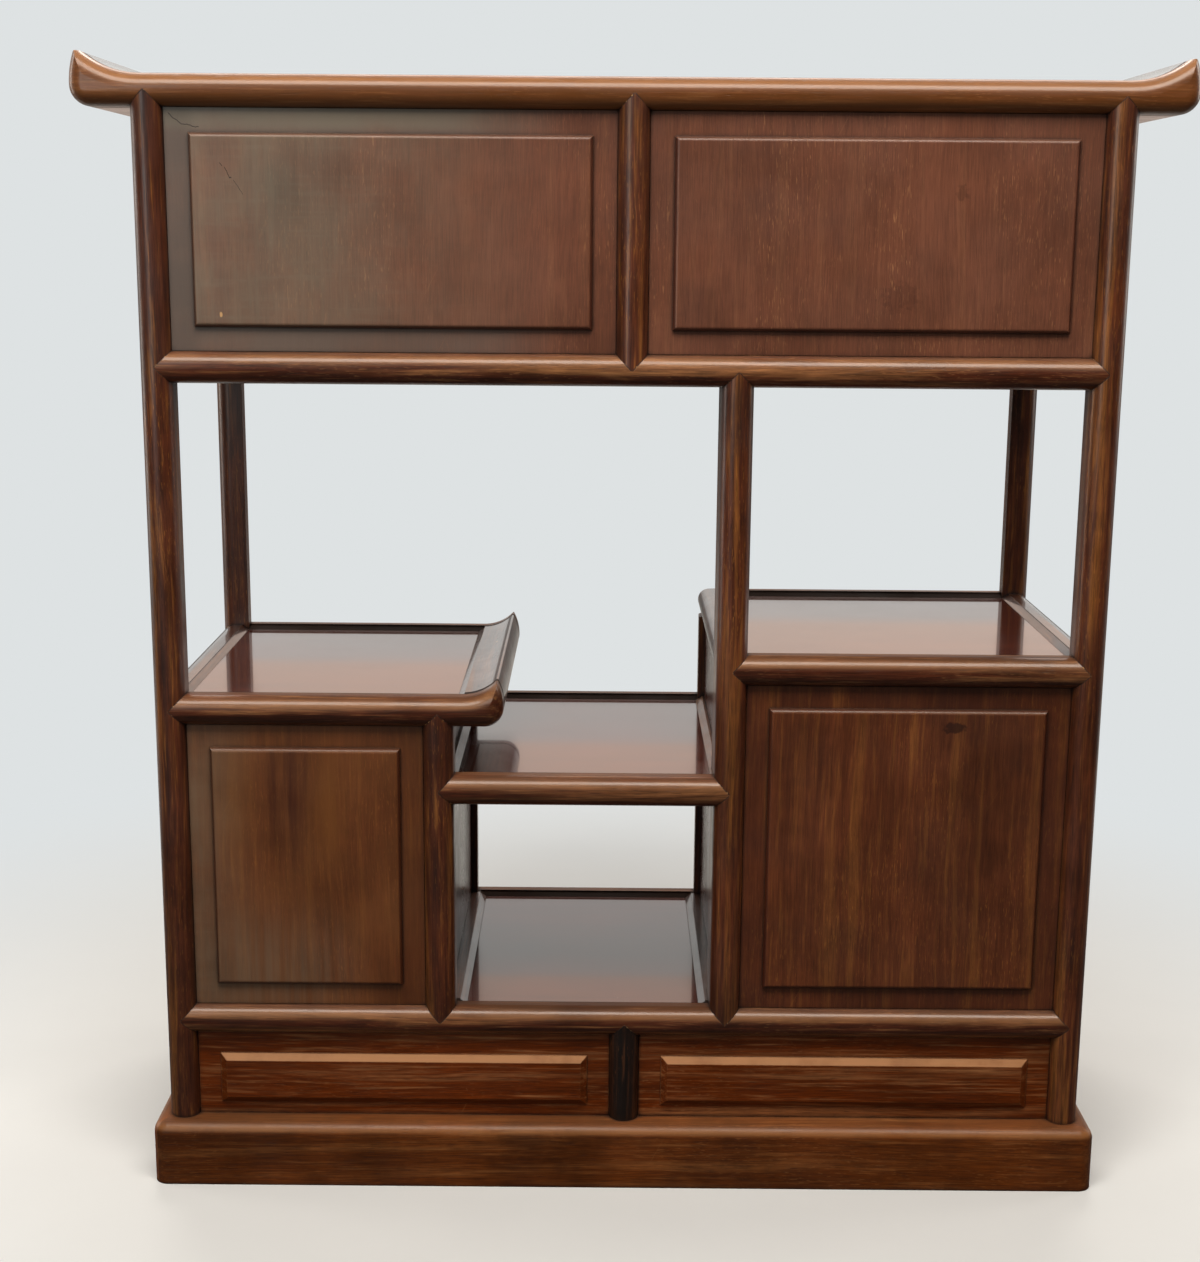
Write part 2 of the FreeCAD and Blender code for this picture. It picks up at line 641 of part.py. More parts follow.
def make_rails():
    """Rails along X at every level, with their joints to the posts."""
    for end, y in (("back", BACK), ("front", FRONT)):
        outward = Y * math.copysign(1, y)
        left_post = f"post_{end}_left"
        right_post = f"post_{end}_right"
        inner_post = f"post_{end}_inner"
        centre_post = f"post_{end}_centre"
        base = f"base_rail_{end}"
        middle = f"middle_shelf_rail_{end}"
        upper = f"upper_rail_{end}"
        left_shelf = f"left_shelf_rail_{end}"
        upper_depth = TRACK_RAIL_DEPTH if end == "front" else MEMBER
        rail_x(base, LEFT, RIGHT, y, BASE_Z)
        rail_x(middle, INNER_POST_X, CENTRE_POST_X, y, MIDDLE_Z)
        rail_x(upper, LEFT, RIGHT, y, UPPER_Z, upper_depth)
        left_shelf_rail(left_shelf, y)
        top_rail(f"top_rail_{end}", y)
        for rail, z, start, stop in (
            (base, BASE_Z, (left_post, LEFT), (right_post, RIGHT)),
            (middle, MIDDLE_Z, (inner_post, INNER_POST_X), (centre_post, CENTRE_POST_X)),
            (upper, UPPER_Z, (left_post, LEFT), (right_post, RIGHT)),
        ):
            join(rail, start[0], Vector(start[1], y, z), -X, outward, Z, TENON_HIGH)
            join(rail, stop[0], Vector(stop[1], y, z), X, outward, Z, TENON_HIGH)
        join(left_shelf, left_post, Vector(LEFT, y, LEFT_SHELF_Z), -X, outward, Z, TENON_HIGH)
        for post, rail, x, z, toward in (
            (left_post, f"top_rail_{end}", LEFT, TOP_Z, Z),
            (right_post, f"top_rail_{end}", RIGHT, TOP_Z, Z),
            (inner_post, base, INNER_POST_X, BASE_Z, -Z),
            (inner_post, left_shelf, INNER_POST_X, LEFT_SHELF_Z, Z),
            (centre_post, base, CENTRE_POST_X, BASE_Z, -Z),
            (f"muntin_base_{end}", base, MUNTIN_X, BASE_Z, Z),
        ):
            join(post, rail, Vector(x, y, z), toward, outward, X, TENON_POST)
    join("post_back_centre", "upper_rail_back", Vector(CENTRE_POST_X, BACK, UPPER_Z), Z, -Y, X, TENON_POST)
    join("muntin_upper_back", "upper_rail_back", Vector(MUNTIN_X, BACK, UPPER_Z), -Z, -Y, X, TENON_POST)
    join("muntin_upper_back", "top_rail_back", Vector(MUNTIN_X, BACK, TOP_Z), Z, -Y, X, TENON_POST)
    for side, x in (("left", LEFT), ("right", RIGHT)):
        rail_y(f"base_rail_{side}", x, BASE_Z)
        rail_y(f"upper_rail_{side}", x, UPPER_Z)
    rail_y("left_shelf_rail_left", LEFT, LEFT_SHELF_Z)
    rail_y("right_shelf_rail_right", RIGHT, RIGHT_SHELF_Z)


def make_right_shelf_rails():
    """Rails of the right shelf; the front and left ones meet in a mitre over the short front post."""
    z = RIGHT_SHELF_Z
    rail_x("right_shelf_rail_back", CENTRE_POST_X, RIGHT, BACK, z)
    join("right_shelf_rail_back", "post_back_centre", Vector(CENTRE_POST_X, BACK, z), -X, -Y, Z, TENON_HIGH)
    join("right_shelf_rail_back", "post_back_right", Vector(RIGHT, BACK, z), X, -Y, Z, TENON_HIGH)
    low = z - HALF
    outer_corner = Vector(CENTRE_POST_X - HALF, RIDGE_Y, low)
    inner_corner = Vector(CENTRE_POST_X + HALF, FRONT_FACE, low)
    far_corners = [Vector(RIGHT, FRONT_FACE, low), Vector(RIGHT, RIDGE_Y, low)]
    mitre = prism([outer_corner, inner_corner] + far_corners, Z * MEMBER)
    front = bar(Vector(CENTRE_POST_X - HALF, FRONT, z), Vector(RIGHT_FACE, FRONT, z), Y)
    keep("right_shelf_rail_front", front.common(mitre))
    join("right_shelf_rail_front", "post_front_right", Vector(RIGHT, FRONT, z), X, Y, Z, TENON_HIGH)
    post_end = BACK - HALF + CENTRE_POST_DEPTH
    left = bar(Vector(CENTRE_POST_X, post_end, z), Vector(CENTRE_POST_X, RIDGE_Y, z), -X)
    keep("right_shelf_rail_left", left.cut(mitre))
    tip = Vector(CENTRE_POST_X, post_end - HALF, z)
    join("right_shelf_rail_left", "post_back_centre", tip, -Y, -X, Z, TENON_LOW, beaked=False)
    stub = (CENTRE_POST_X + TENON_INSET, CENTRE_POST_X + TENON_INSET + TENON_THICKNESS)
    deep = (FRONT - TENON_THICKNESS / 2, FRONT + TENON_THICKNESS / 2)
    post = pieces["post_front_centre"]
    tenon_top = low + TENON_LENGTH
    keep("post_front_centre", post.fuse(block(stub, deep, (low, tenon_top))).removeSplitter())
    hole = block(shrink(stub, -JOINT_GAP), shrink(deep, -JOINT_GAP), (low, tenon_top + JOINT_GAP))
    cut_from(["right_shelf_rail_front", "right_shelf_rail_left"], hole)


def make_cross_members():
    """Members along Y inside the case: beside the bay floor and over the left bay wall."""
    base_limits = (
        ("base_cross_rail_left", (INNER_POST_X - HALF, INNER_POST_X + HALF + BAY_FLOOR_LIP)),
        ("base_cross_rail_right", (CENTRE_POST_X - HALF - BAY_FLOOR_LIP, CENTRE_POST_X + HALF)),
    )
    height = (BASE_Z - HALF, BASE_Z + HALF)
    for name, limits in base_limits:
        keep(name, block(limits, (BACK_FACE, FRONT_FACE), height))
        centre = (limits[0] + limits[1]) / 2
        for rail, y, toward in (("base_rail_back", BACK_FACE, -Y), ("base_rail_front", FRONT_FACE, Y)):
            tip = Vector(centre, y, BASE_Z) + toward * HALF
            join(name, rail, tip, toward, X, Z, TENON_LOW, beaked=False)
    panel_low = LEFT_SHELF_Z + HALF - RECESS_DEPTH - SHELF_THICKNESS
    bearer_x = (INNER_POST_X - HALF, INNER_POST_X + HALF)
    bearer_z = (LEFT_SHELF_Z - HALF, panel_low - JOINT_GAP)
    stub_x = (INNER_POST_X - POST_TENON_WIDTH / 2, INNER_POST_X + POST_TENON_WIDTH / 2)
    stub_z = shrink(bearer_z, TENON_INSET)
    stub_y = (BACK_FACE - BEARER_TENON, FRONT_FACE + BEARER_TENON)
    bearer = block(bearer_x, (BACK_FACE, FRONT_FACE), bearer_z).fuse(block(stub_x, stub_y, stub_z))
    keep("left_shelf_bearer", bearer.removeSplitter())
    hole = block(shrink(stub_x, -JOINT_GAP), shrink(stub_y, -JOINT_GAP), shrink(stub_z, -JOINT_GAP))
    cut_from(["left_shelf_rail_back", "left_shelf_rail_front"], hole)


def make_bay():
    """Walls of the open bay and the cleats and panel of the shelf between them."""
    left_wall = INNER_POST_X + HALF - BAY_WALL_SETBACK
    right_wall = CENTRE_POST_X - HALF + BAY_WALL_SETBACK
    centre_end = BACK - HALF + CENTRE_POST_DEPTH
    floor = BASE_Z + HALF
    flat_panel(
        "bay_wall_left", (left_wall - PANEL_THICKNESS, left_wall), (BACK_FACE, FRONT_FACE),
        (floor, LEFT_SHELF_Z - HALF),
        ["post_back_inner", "post_front_inner", "base_cross_rail_left", "left_shelf_bearer",
         "base_rail_back", "base_rail_front", "left_shelf_rail_back", "left_shelf_rail_front"],
    )
    flat_panel(
        "bay_wall_right", (right_wall, right_wall + PANEL_THICKNESS), (centre_end, FRONT_FACE),
        (floor, RIGHT_SHELF_Z - HALF),
        ["post_back_centre", "post_front_centre", "base_cross_rail_right",
         "right_shelf_rail_left", "base_rail_front"],
    )
    height = (MIDDLE_Z - HALF, MIDDLE_Z + HALF)
    run = (BACK_FACE, FRONT_FACE)
    left_edge = INNER_POST_X + HALF + CLEAT_REACH
    right_edge = CENTRE_POST_X - HALF - CLEAT_REACH
    keep("middle_shelf_cleat_left", block((left_wall + JOINT_GAP, left_edge), run, height))
    cleat = block((right_edge, right_wall - JOINT_GAP), run, height)
    post = block((CENTRE_POST_X - HALF - JOINT_GAP, right_wall), (BACK_FACE, centre_end + JOINT_GAP), height)
    keep("middle_shelf_cleat_right", cleat.cut(post))
    rails = [
        "middle_shelf_rail_back", "middle_shelf_rail_front",
        "middle_shelf_cleat_left", "middle_shelf_cleat_right",
    ]
    shelf("middle_shelf_panel", (left_edge, right_edge), run, MIDDLE_Z, rails, ["post_back_centre"])


def round_tips():
    """Round the tips of the upturned ends, on the rails and the pieces between them alike."""
    top_curve = (TOP_SCROLL_START, TOP_SCROLL_REACH, TOP_SCROLL_LIFT, TOP_SCROLL_TIP_RADIUS)
    shelf_curve = (SHELF_SCROLL_START, SHELF_SCROLL_REACH, SHELF_SCROLL_LIFT, SHELF_SCROLL_TIP_RADIUS)
    low = TOP_Z - HALF
    left = tip_cutter(Vector(-RIDGE_X, -RIDGE_Y, low), -X, *top_curve)
    right = tip_cutter(Vector(RIDGE_X, -RIDGE_Y, low), X, *top_curve)
    cut_from(["top_rail_back", "top_rail_front", "top_scroll_left"], left)
    cut_from(["top_rail_back", "top_rail_front", "top_scroll_right"], right)
    post_face = Vector(INNER_POST_X + HALF, -RIDGE_Y, LEFT_SHELF_Z - HALF)
    shelf_pieces = ["left_shelf_rail_back", "left_shelf_rail_front", "left_shelf_scroll"]
    cut_from(shelf_pieces, tip_cutter(post_face, X, *shelf_curve))


def make_shelves():
    """Panels of the left and right shelves, the compartment floors and the top."""
    run = (BACK_FACE, FRONT_FACE)
    scroll_edge = left_shelf_end("left_shelf_scroll")
    shelf(
        "left_shelf_panel", (LEFT_FACE, scroll_edge), run, LEFT_SHELF_Z,
        ["left_shelf_rail_back", "left_shelf_rail_front", "left_shelf_rail_left", "left_shelf_scroll"],
    )
    right_rails = [f"right_shelf_rail_{side}" for side in ("back", "front", "left", "right")]
    right_x = (CENTRE_POST_X + HALF, RIGHT_FACE)
    shelf("right_shelf_panel", right_x, run, RIGHT_SHELF_Z, right_rails, ["post_back_centre"])
    floors = (
        ("base_floor_left", (LEFT_FACE, INNER_POST_X - HALF), ("base_rail_left", "base_cross_rail_left")),
        (
            "base_floor_bay",
            (INNER_POST_X + HALF + BAY_FLOOR_LIP, CENTRE_POST_X - HALF - BAY_FLOOR_LIP),
            ("base_cross_rail_left", "base_cross_rail_right"),
        ),
        ("base_floor_right", right_x, ("base_cross_rail_right", "base_rail_right")),
    )
    for name, limits, sides in floors:
        rails = ["base_rail_back", "base_rail_front"] + list(sides)
        if name == "base_floor_bay":
            shelf(name, limits, run, BASE_Z, rails)
        else:
            shelf_panel(name, limits, run, BASE_Z + HALF - RECESS_DEPTH, rails)
    upper_rails = [f"upper_rail_{side}" for side in ("back", "front", "left", "right")]
    track_edge = RIDGE_Y - TRACK_RAIL_DEPTH
    upper_top = UPPER_Z + HALF - RECESS_DEPTH
    shelf_panel("upper_floor_panel", (LEFT_FACE, RIGHT_FACE), (BACK_FACE, track_edge), upper_top, upper_rails)
    for side, sign in (("left", -1), ("right", 1)):
        top_end(f"top_scroll_{side}", sign)
    top_rails = ["top_rail_back", "top_rail_front", "top_scroll_left", "top_scroll_right"]
    shelf("top_panel", (LEFT_FACE, RIGHT_FACE), run, TOP_Z, top_rails)


def make_panels():
    """Raised panels of the back and the sides."""
    back_face = RIDGE_Y - PANEL_SETBACK
    side_face = RIDGE_X - PANEL_SETBACK
    upper = (UPPER_Z + HALF, TOP_Z - HALF)
    base = (PLINTH_HEIGHT, BASE_Z - HALF)
    floor = BASE_Z + HALF
    left_lower = (floor, LEFT_SHELF_Z - HALF)
    right_lower = (floor, RIGHT_SHELF_Z - HALF)
    muntin_faces = (MUNTIN_X - HALF, MUNTIN_X + HALF)
    backs = (
        ("back_panel_upper_left", (LEFT_FACE, muntin_faces[0]), upper,
         ["post_back_left", "muntin_upper_back", "upper_rail_back", "top_rail_back"]),
        ("back_panel_upper_right", (muntin_faces[1], RIGHT_FACE), upper,
         ["muntin_upper_back", "post_back_right", "upper_rail_back", "top_rail_back"]),
        ("back_panel_lower_left", (LEFT_FACE, INNER_POST_X - HALF), left_lower,
         ["post_back_left", "post_back_inner", "base_rail_back", "left_shelf_rail_back"]),
        ("back_panel_lower_right", (CENTRE_POST_X + HALF, RIGHT_FACE), right_lower,
         ["post_back_centre", "post_back_right", "base_rail_back", "right_shelf_rail_back"]),
        ("back_panel_base_left", (LEFT_FACE, muntin_faces[0]), base,
         ["post_back_left", "muntin_base_back", "base_rail_back", "plinth_back"]),
        ("back_panel_base_right", (muntin_faces[1], RIGHT_FACE), base,
         ["muntin_base_back", "post_back_right", "base_rail_back", "plinth_back"]),
    )
    for name, span, rise, neighbours in backs:
        in_base = rise == base
        borders = BASE_BORDERS if in_base else PANEL_BORDERS
        panel(name, X, span, rise, -Y, back_face, neighbours, borders, in_base)
    span = (BACK_FACE, FRONT_FACE)
    for side, outward, lower, shelf_rail in (
        ("left", -X, left_lower, "left_shelf_rail_left"),
        ("right", X, right_lower, "right_shelf_rail_right"),
    ):
        posts = [f"post_back_{side}", f"post_front_{side}"]
        base_rail = f"base_rail_{side}"
        top_members = [f"top_scroll_{side}", "top_rail_back", "top_rail_front"]
        upper_members = posts + [f"upper_rail_{side}"] + top_members
        panel(f"side_panel_upper_{side}", Y, span, upper, outward, side_face, upper_members)
        lower_members = posts + [base_rail, shelf_rail]
        panel(f"side_panel_lower_{side}", Y, span, lower, outward, side_face, lower_members)
        low_members = posts + [base_rail, f"plinth_{side}"]
        low_name = f"side_panel_base_{side}"
        panel(low_name, Y, span, base, outward, side_face, low_members, BASE_BORDERS, sloped=True)


def make_sliding_doors():
    """Two doors in double tracks, each with a round sunk pull."""
    opening = (LEFT_FACE + SLIDER_CLEARANCE, RIGHT_FACE - SLIDER_CLEARANCE)
    width = (opening[1] - opening[0] + SLIDER_OVERLAP) / 2
    low = UPPER_Z + HALF
    high = TOP_Z - HALF
    track_edge = RIDGE_Y - TRACK_RAIL_DEPTH
    panel_low = TOP_Z + HALF - RECESS_DEPTH - SHELF_THICKNESS
    strip = block((LEFT_FACE, RIGHT_FACE), (track_edge, FRONT_FACE), (high, panel_low - JOINT_GAP))
    keep("top_rail_front", pieces["top_rail_front"].fuse(strip).removeSplitter())
    outer_face = RIDGE_Y - SLIDER_SETBACK
    doors = (
        ("left", (opening[0], opening[0] + width), outer_face, opening[0] + PULL_INSET),
        ("right", (opening[1] - width, opening[1]), outer_face - SLIDER_PITCH, opening[1] - PULL_INSET),
    )
    for side, span, face, pull_x in doors:
        rise = (low + SLIDER_EDGE_GAP, high - SLIDER_EDGE_GAP)
        door = raised_board(
            X, span, rise, Y, face, SLIDER_THICKNESS, PANEL_BORDERS, SLIDER_FIELD_LIFT
        )
        middle = face - SLIDER_THICKNESS / 2
        tongue_y = (middle - TRACK_TONGUE / 2, middle + TRACK_TONGUE / 2)
        tongue_z = (low - LOWER_TRACK_DEPTH + TRACK_RUN_GAP, high + UPPER_TRACK_ENTRY)
        door = door.fuse(block(span, tongue_y, tongue_z)).removeSplitter()
        slot_y = shrink(tongue_y, -TRACK_SIDE_GAP)
        slot_x = (LEFT_FACE, RIGHT_FACE)
        cut_from(["upper_rail_front"], block(slot_x, slot_y, (low - LOWER_TRACK_DEPTH, low)))
        cut_from(["top_rail_front"], block(slot_x, slot_y, (high, high + UPPER_TRACK_DEPTH)))
        front = face + SLIDER_FIELD_LIFT
        seat = Vector(pull_x, front - PULL_DEPTH, (rise[0] + rise[1]) / 2)
        pocket = Part.makeCylinder(PULL_RADIUS + JOINT_GAP, PULL_DEPTH, seat, Y)
        keep(f"sliding_door_{side}", door.cut(pocket))
        cup = Part.makeCylinder(PULL_RADIUS, PULL_DEPTH, seat, Y)
        hollow = Part.makeCylinder(PULL_RADIUS - PULL_WALL, PULL_DEPTH, seat + Y * PULL_WALL, Y)
        keep(f"sliding_pull_{side}", cup.cut(hollow))


def knob(name, seat, holder):
    """Turned knob with a rose, a neck, a ball and a spigot in the wood behind it."""
    ball_centre = KNOB_LENGTH - KNOB_RADIUS
    neck_meets = ball_centre - math.sqrt(KNOB_RADIUS ** 2 - KNOB_NECK ** 2)

    def place(radius, out):
        return seat + X * radius + Y * out

    tip = place(0, KNOB_LENGTH)
    edges = [
        Part.makeLine(place(0, -KNOB_SPIGOT), place(KNOB_SPIGOT_RADIUS, -KNOB_SPIGOT)),
        Part.makeLine(place(KNOB_SPIGOT_RADIUS, -KNOB_SPIGOT), place(KNOB_SPIGOT_RADIUS, 0)),
        Part.makeLine(place(KNOB_SPIGOT_RADIUS, 0), place(KNOB_ROSE_RADIUS, 0)),
        Part.makeLine(place(KNOB_ROSE_RADIUS, 0), place(KNOB_NECK, KNOB_ROSE)),
        Part.makeLine(place(KNOB_NECK, KNOB_ROSE), place(KNOB_NECK, neck_meets)),
        Part.Arc(place(KNOB_NECK, neck_meets), place(KNOB_RADIUS, ball_centre), tip).toShape(),
        Part.makeLine(tip, place(0, -KNOB_SPIGOT)),
    ]
    keep(name, Part.Face(Part.Wire(edges)).revolve(seat, Y, 360))
    start = seat - Y * (KNOB_SPIGOT + JOINT_GAP)
    bore = Part.makeCylinder(KNOB_SPIGOT_RADIUS + JOINT_GAP, KNOB_SPIGOT + JOINT_GAP, start, Y)
    cut_from([holder], bore)


def make_hinged_doors():
    """Two doors that turn on pins beside the corner posts; the hinge edge is half round about the pins."""
    face = RIDGE_Y - DOOR_SETBACK
    radius = DOOR_THICKNESS / 2
    pivot_y = face - radius
    low = BASE_Z + HALF
    doors = (
        ("left", 1, LEFT_FACE, INNER_POST_X - HALF, LEFT_SHELF_Z - HALF, "left_shelf_rail_front"),
        ("right", -1, RIGHT_FACE, CENTRE_POST_X + HALF, RIGHT_SHELF_Z - HALF, "right_shelf_rail_front"),
    )
    for side, away, hinge_face, free_face, high, shelf_rail in doors:
        name = f"hinged_door_{side}"
        pivot_x = hinge_face + away * (DOOR_CLEARANCE + radius)
        hinge_edge = hinge_face + away * DOOR_CLEARANCE
        free_edge = free_face - away * DOOR_CLEARANCE
        span = tuple(sorted((hinge_edge, free_edge)))
        rise = (low + DOOR_CLEARANCE, high - DOOR_CLEARANCE)
        door = raised_board(
            X, span, rise, Y, face, DOOR_THICKNESS, DOOR_BORDERS, FIELD_LIFT
        )
        edge_strip = block(tuple(sorted((hinge_edge, pivot_x))), (face - DOOR_THICKNESS, face), rise)
        centre = Vector(pivot_x, pivot_y, rise[0])
        hinge_stile = Part.makeCylinder(radius, rise[1] - rise[0], centre)
        keep(name, door.cut(edge_strip).fuse(hinge_stile).removeSplitter())
        bore = PIN_RADIUS + PIN_CLEARANCE
        pins = (("bottom", "base_rail_front", low, 1), ("top", shelf_rail, high, -1))
        for end, rail, rail_z, into in pins:
            start = rail_z - into * PIN_SEAT
            reach = PIN_SEAT + PIN_REACH
            axis = Vector(pivot_x, pivot_y, start)
            keep(f"door_pin_{side}_{end}", Part.makeCylinder(PIN_RADIUS, reach, axis, Z * into))
            sink = axis - Z * (into * PIN_CLEARANCE)
            hole = Part.makeCylinder(bore, reach + 2 * PIN_CLEARANCE, sink, Z * into)
            cut_from([rail, name], hole)
        knob_x = free_edge - away * KNOB_INSET
        knob(f"door_knob_{side}", Vector(knob_x, face, (rise[0] + rise[1]) / 2), name)


def make_drawers():
    """Two drawers that run on the deck, with guides beside and between them."""
    face = RIDGE_Y - DOOR_SETBACK
    back_of_front = face - DOOR_THICKNESS
    rear = face - DRAWER_LENGTH
    low = PLINTH_HEIGHT
    for side, limits in (("left", (LEFT_FACE, MUNTIN_X - HALF)), ("right", (MUNTIN_X + HALF, RIGHT_FACE))):
        span = shrink(limits, DOOR_CLEARANCE)
        rise = (low + DOOR_CLEARANCE, BASE_Z - HALF - DOOR_CLEARANCE)
        front = f"drawer_front_{side}"
        keep(front, raised_board(
            X, span, rise, Y, face, DOOR_THICKNESS, BASE_BORDERS, FIELD_LIFT, sloped=True
        ))
        outer = shrink(span, DRAWER_SIDE_INSET)
        inner = shrink(outer, DRAWER_SIDE)
        side_z = (low + DRAWER_RUN_GAP, low + DRAWER_SIDE_HEIGHT)
        tongue_z = (rise[0] + DRAWER_BOTTOM_RISE, side_z[1])
        walls = []
        for hand, x_limits in (("left", (outer[0], inner[0])), ("right", (inner[1], outer[1]))):
            wall = f"drawer_side_{side}_{hand}"
            tongue_x = shrink(x_limits, DRAWER_SIDE_SHOULDER)
            tongue = block(tongue_x, (back_of_front, back_of_front + DRAWER_SIDE_TONGUE), tongue_z)
            keep(wall, block(x_limits, (rear, back_of_front), side_z).fuse(tongue).removeSplitter())
            hole_y = (back_of_front, back_of_front + DRAWER_SIDE_TONGUE + JOINT_GAP)
            cut_from([front], block(shrink(tongue_x, -JOINT_GAP), hole_y, shrink(tongue_z, -JOINT_GAP)))
            walls.append(wall)
        back = f"drawer_back_{side}"
        keep(back, block(shrink(inner, JOINT_GAP), (rear, rear + DRAWER_SIDE), side_z))
        bottom_low = low + DRAWER_BOTTOM_RISE
        bottom_z = (bottom_low, bottom_low + DRAWER_BOTTOM)
        bottom_x = shrink(inner, -DRAWER_BOTTOM_TONGUE)
        bottom_y = (rear + DRAWER_SIDE - DRAWER_BOTTOM_TONGUE, back_of_front + DRAWER_BOTTOM_TONGUE)
        board = block(bottom_x, bottom_y, bottom_z)
        keep(f"drawer_bottom_{side}", board)
        groove_limits = [shrink(limits, -JOINT_GAP) for limits in (bottom_x, bottom_y, bottom_z)]
        groove = block(*groove_limits)
        cut_from(walls + [back, front], groove)
        field_middle = (rise[0] + BASE_BORDER_BELOW + rise[1] - BASE_BORDER_ABOVE) / 2
        knob(f"drawer_knob_{side}", Vector((span[0] + span[1]) / 2, face + FIELD_LIFT, field_middle), front)
    guide_z = (low, low + GUIDE_HEIGHT)
    run = shrink((BACK_FACE, FRONT_FACE), JOINT_GAP)
    keep("drawer_guide_middle", block((MUNTIN_X - HALF, MUNTIN_X + HALF), run, guide_z))
    panel_inside = RIDGE_X - PANEL_SETBACK - PANEL_THICKNESS
    for side, sign in (("left", -1), ("right", 1)):
        limits = tuple(sorted((sign * (panel_inside - JOINT_GAP), sign * RIGHT_FACE)))
        keep(f"drawer_guide_{side}", block(limits, run, guide_z))


def write_nodes():
    """Write each node's solids to its own file."""
    groups = {
        "plinth_frame": ["plinth_back", "plinth_right", "plinth_front", "plinth_left"],
        "muntins_base": ["muntin_base_back", "muntin_base_front"],
        "base_rails_side": ["base_rail_left", "base_rail_right"],
        "base_cross_rails": ["base_cross_rail_left", "base_cross_rail_right"],
        "base_floor_panels": ["base_floor_left", "base_floor_bay", "base_floor_right"],
        "middle_shelf_frame": [
            "middle_shelf_rail_back", "middle_shelf_rail_front",
            "middle_shelf_cleat_left", "middle_shelf_cleat_right",
        ],
        "left_shelf_rails_cross": ["left_shelf_rail_left", "left_shelf_bearer"],
        "right_shelf_rails_side": ["right_shelf_rail_left", "right_shelf_rail_right"],
        "upper_rails_side": ["upper_rail_left", "upper_rail_right"],
        "top_scrolls": ["top_scroll_left", "top_scroll_right"],
        "back_panels_upper": ["back_panel_upper_left", "back_panel_upper_right"],
        "back_panels_lower": ["back_panel_lower_left", "back_panel_lower_right"],
        "back_panels_base": ["back_panel_base_left", "back_panel_base_right"],
        "side_panels": [
            f"side_panel_{level}_{side}" for level in ("upper", "lower", "base") for side in ("left", "right")
        ],
        "bay_walls": ["bay_wall_left", "bay_wall_right"],
        "drawer_guides": ["drawer_guide_left", "drawer_guide_middle", "drawer_guide_right"],
        "door_pins": [f"door_pin_{side}_{end}" for side in ("left", "right") for end in ("bottom", "top")],
    }
    for side in ("left", "right"):
        walls = [f"drawer_side_{side}_left", f"drawer_side_{side}_right", f"drawer_back_{side}"]
        groups[f"drawer_box_{side}"] = walls
    grouped = {name for names in groups.values() for name in names}
    for name in pieces:
        if name not in grouped:
            groups[name] = [name]
    os.makedirs("parts", exist_ok=True)
    for node, names in groups.items():
        solids = [pieces[name] for name in names]
        shape = solids[0] if len(solids) == 1 else Part.makeCompound(solids)
        shape.exportStep(f"parts/{node}.step")
    print(len(groups), "nodes,", len(pieces), "solids")


def main():
    plinth = make_plinth()
    make_posts(plinth)
    make_rails()
    make_right_shelf_rails()
    make_cross_members()
    make_bay()
    make_shelves()
    round_tips()
    make_panels()
    make_sliding_doors()
    make_hinged_doors()
    make_drawers()
    write_nodes()


main()
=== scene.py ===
import math

import bmesh
import bpy
import numpy as np
from mathutils import Matrix, Vector


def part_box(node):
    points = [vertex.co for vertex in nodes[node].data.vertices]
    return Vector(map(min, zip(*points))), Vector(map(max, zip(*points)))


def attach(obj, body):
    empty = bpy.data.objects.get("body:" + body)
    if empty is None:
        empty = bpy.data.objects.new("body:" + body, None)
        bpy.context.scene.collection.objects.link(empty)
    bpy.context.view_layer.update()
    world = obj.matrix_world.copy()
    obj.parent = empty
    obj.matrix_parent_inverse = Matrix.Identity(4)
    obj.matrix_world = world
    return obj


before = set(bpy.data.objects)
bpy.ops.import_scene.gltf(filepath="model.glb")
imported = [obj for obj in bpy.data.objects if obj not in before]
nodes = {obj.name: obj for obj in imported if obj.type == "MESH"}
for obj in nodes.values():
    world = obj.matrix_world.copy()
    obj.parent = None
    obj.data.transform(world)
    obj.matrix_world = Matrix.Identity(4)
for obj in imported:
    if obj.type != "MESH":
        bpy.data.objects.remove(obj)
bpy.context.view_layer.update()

bl_info = {
    "name": "Display cabinet",
    "version": (1, 0, 0),
    "blender": (4, 5, 0),
    "location": "View3D > Sidebar > Cabinet",
    "description": "Woods, brass, worn details and stage of a stepped display cabinet",
    "category": "Object",
}

CARCASS = "carcass"

# Places read from the solids, in metres
POST_INSIDE = -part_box("post_back_left")[1].y
RIDGE_LOW, RIDGE_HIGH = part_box("base_rail_back")
HALF = (RIDGE_HIGH.z - RIDGE_LOW.z) / 2
FIELD_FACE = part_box("back_panels_upper")[0].y
FIELD_LIFT = 0.005
RECESS_FOOT = -RIDGE_HIGH.y
RECESS_SLOPE, RECESS_LAP = 0.0065, 0.001

# Relief of the grain, in metres, and shares of polish and of painted shade on the slope round a shelf
GRAIN_RELIEF, POLISHED_RELIEF = 0.00022, 0.00002
SIDE_POLISH = 0.45
RECESS_SHADE_SHARE = 0.9
GRAIN_TURNS = {"X": (0, 0, 0), "Y": (0, 0, -math.pi / 2), "Z": (0, math.pi / 2, 0)}

# Nicks in the left shelf's scroll, in metres
SCROLL_NICKS = ((-0.1259, 0.0493, 0.4525), (-0.1145, 0.0968, 0.4525), (-0.1146, 0.1617, 0.4525))
NICK_SIZE = (0.0016, 0.003, 0.01)

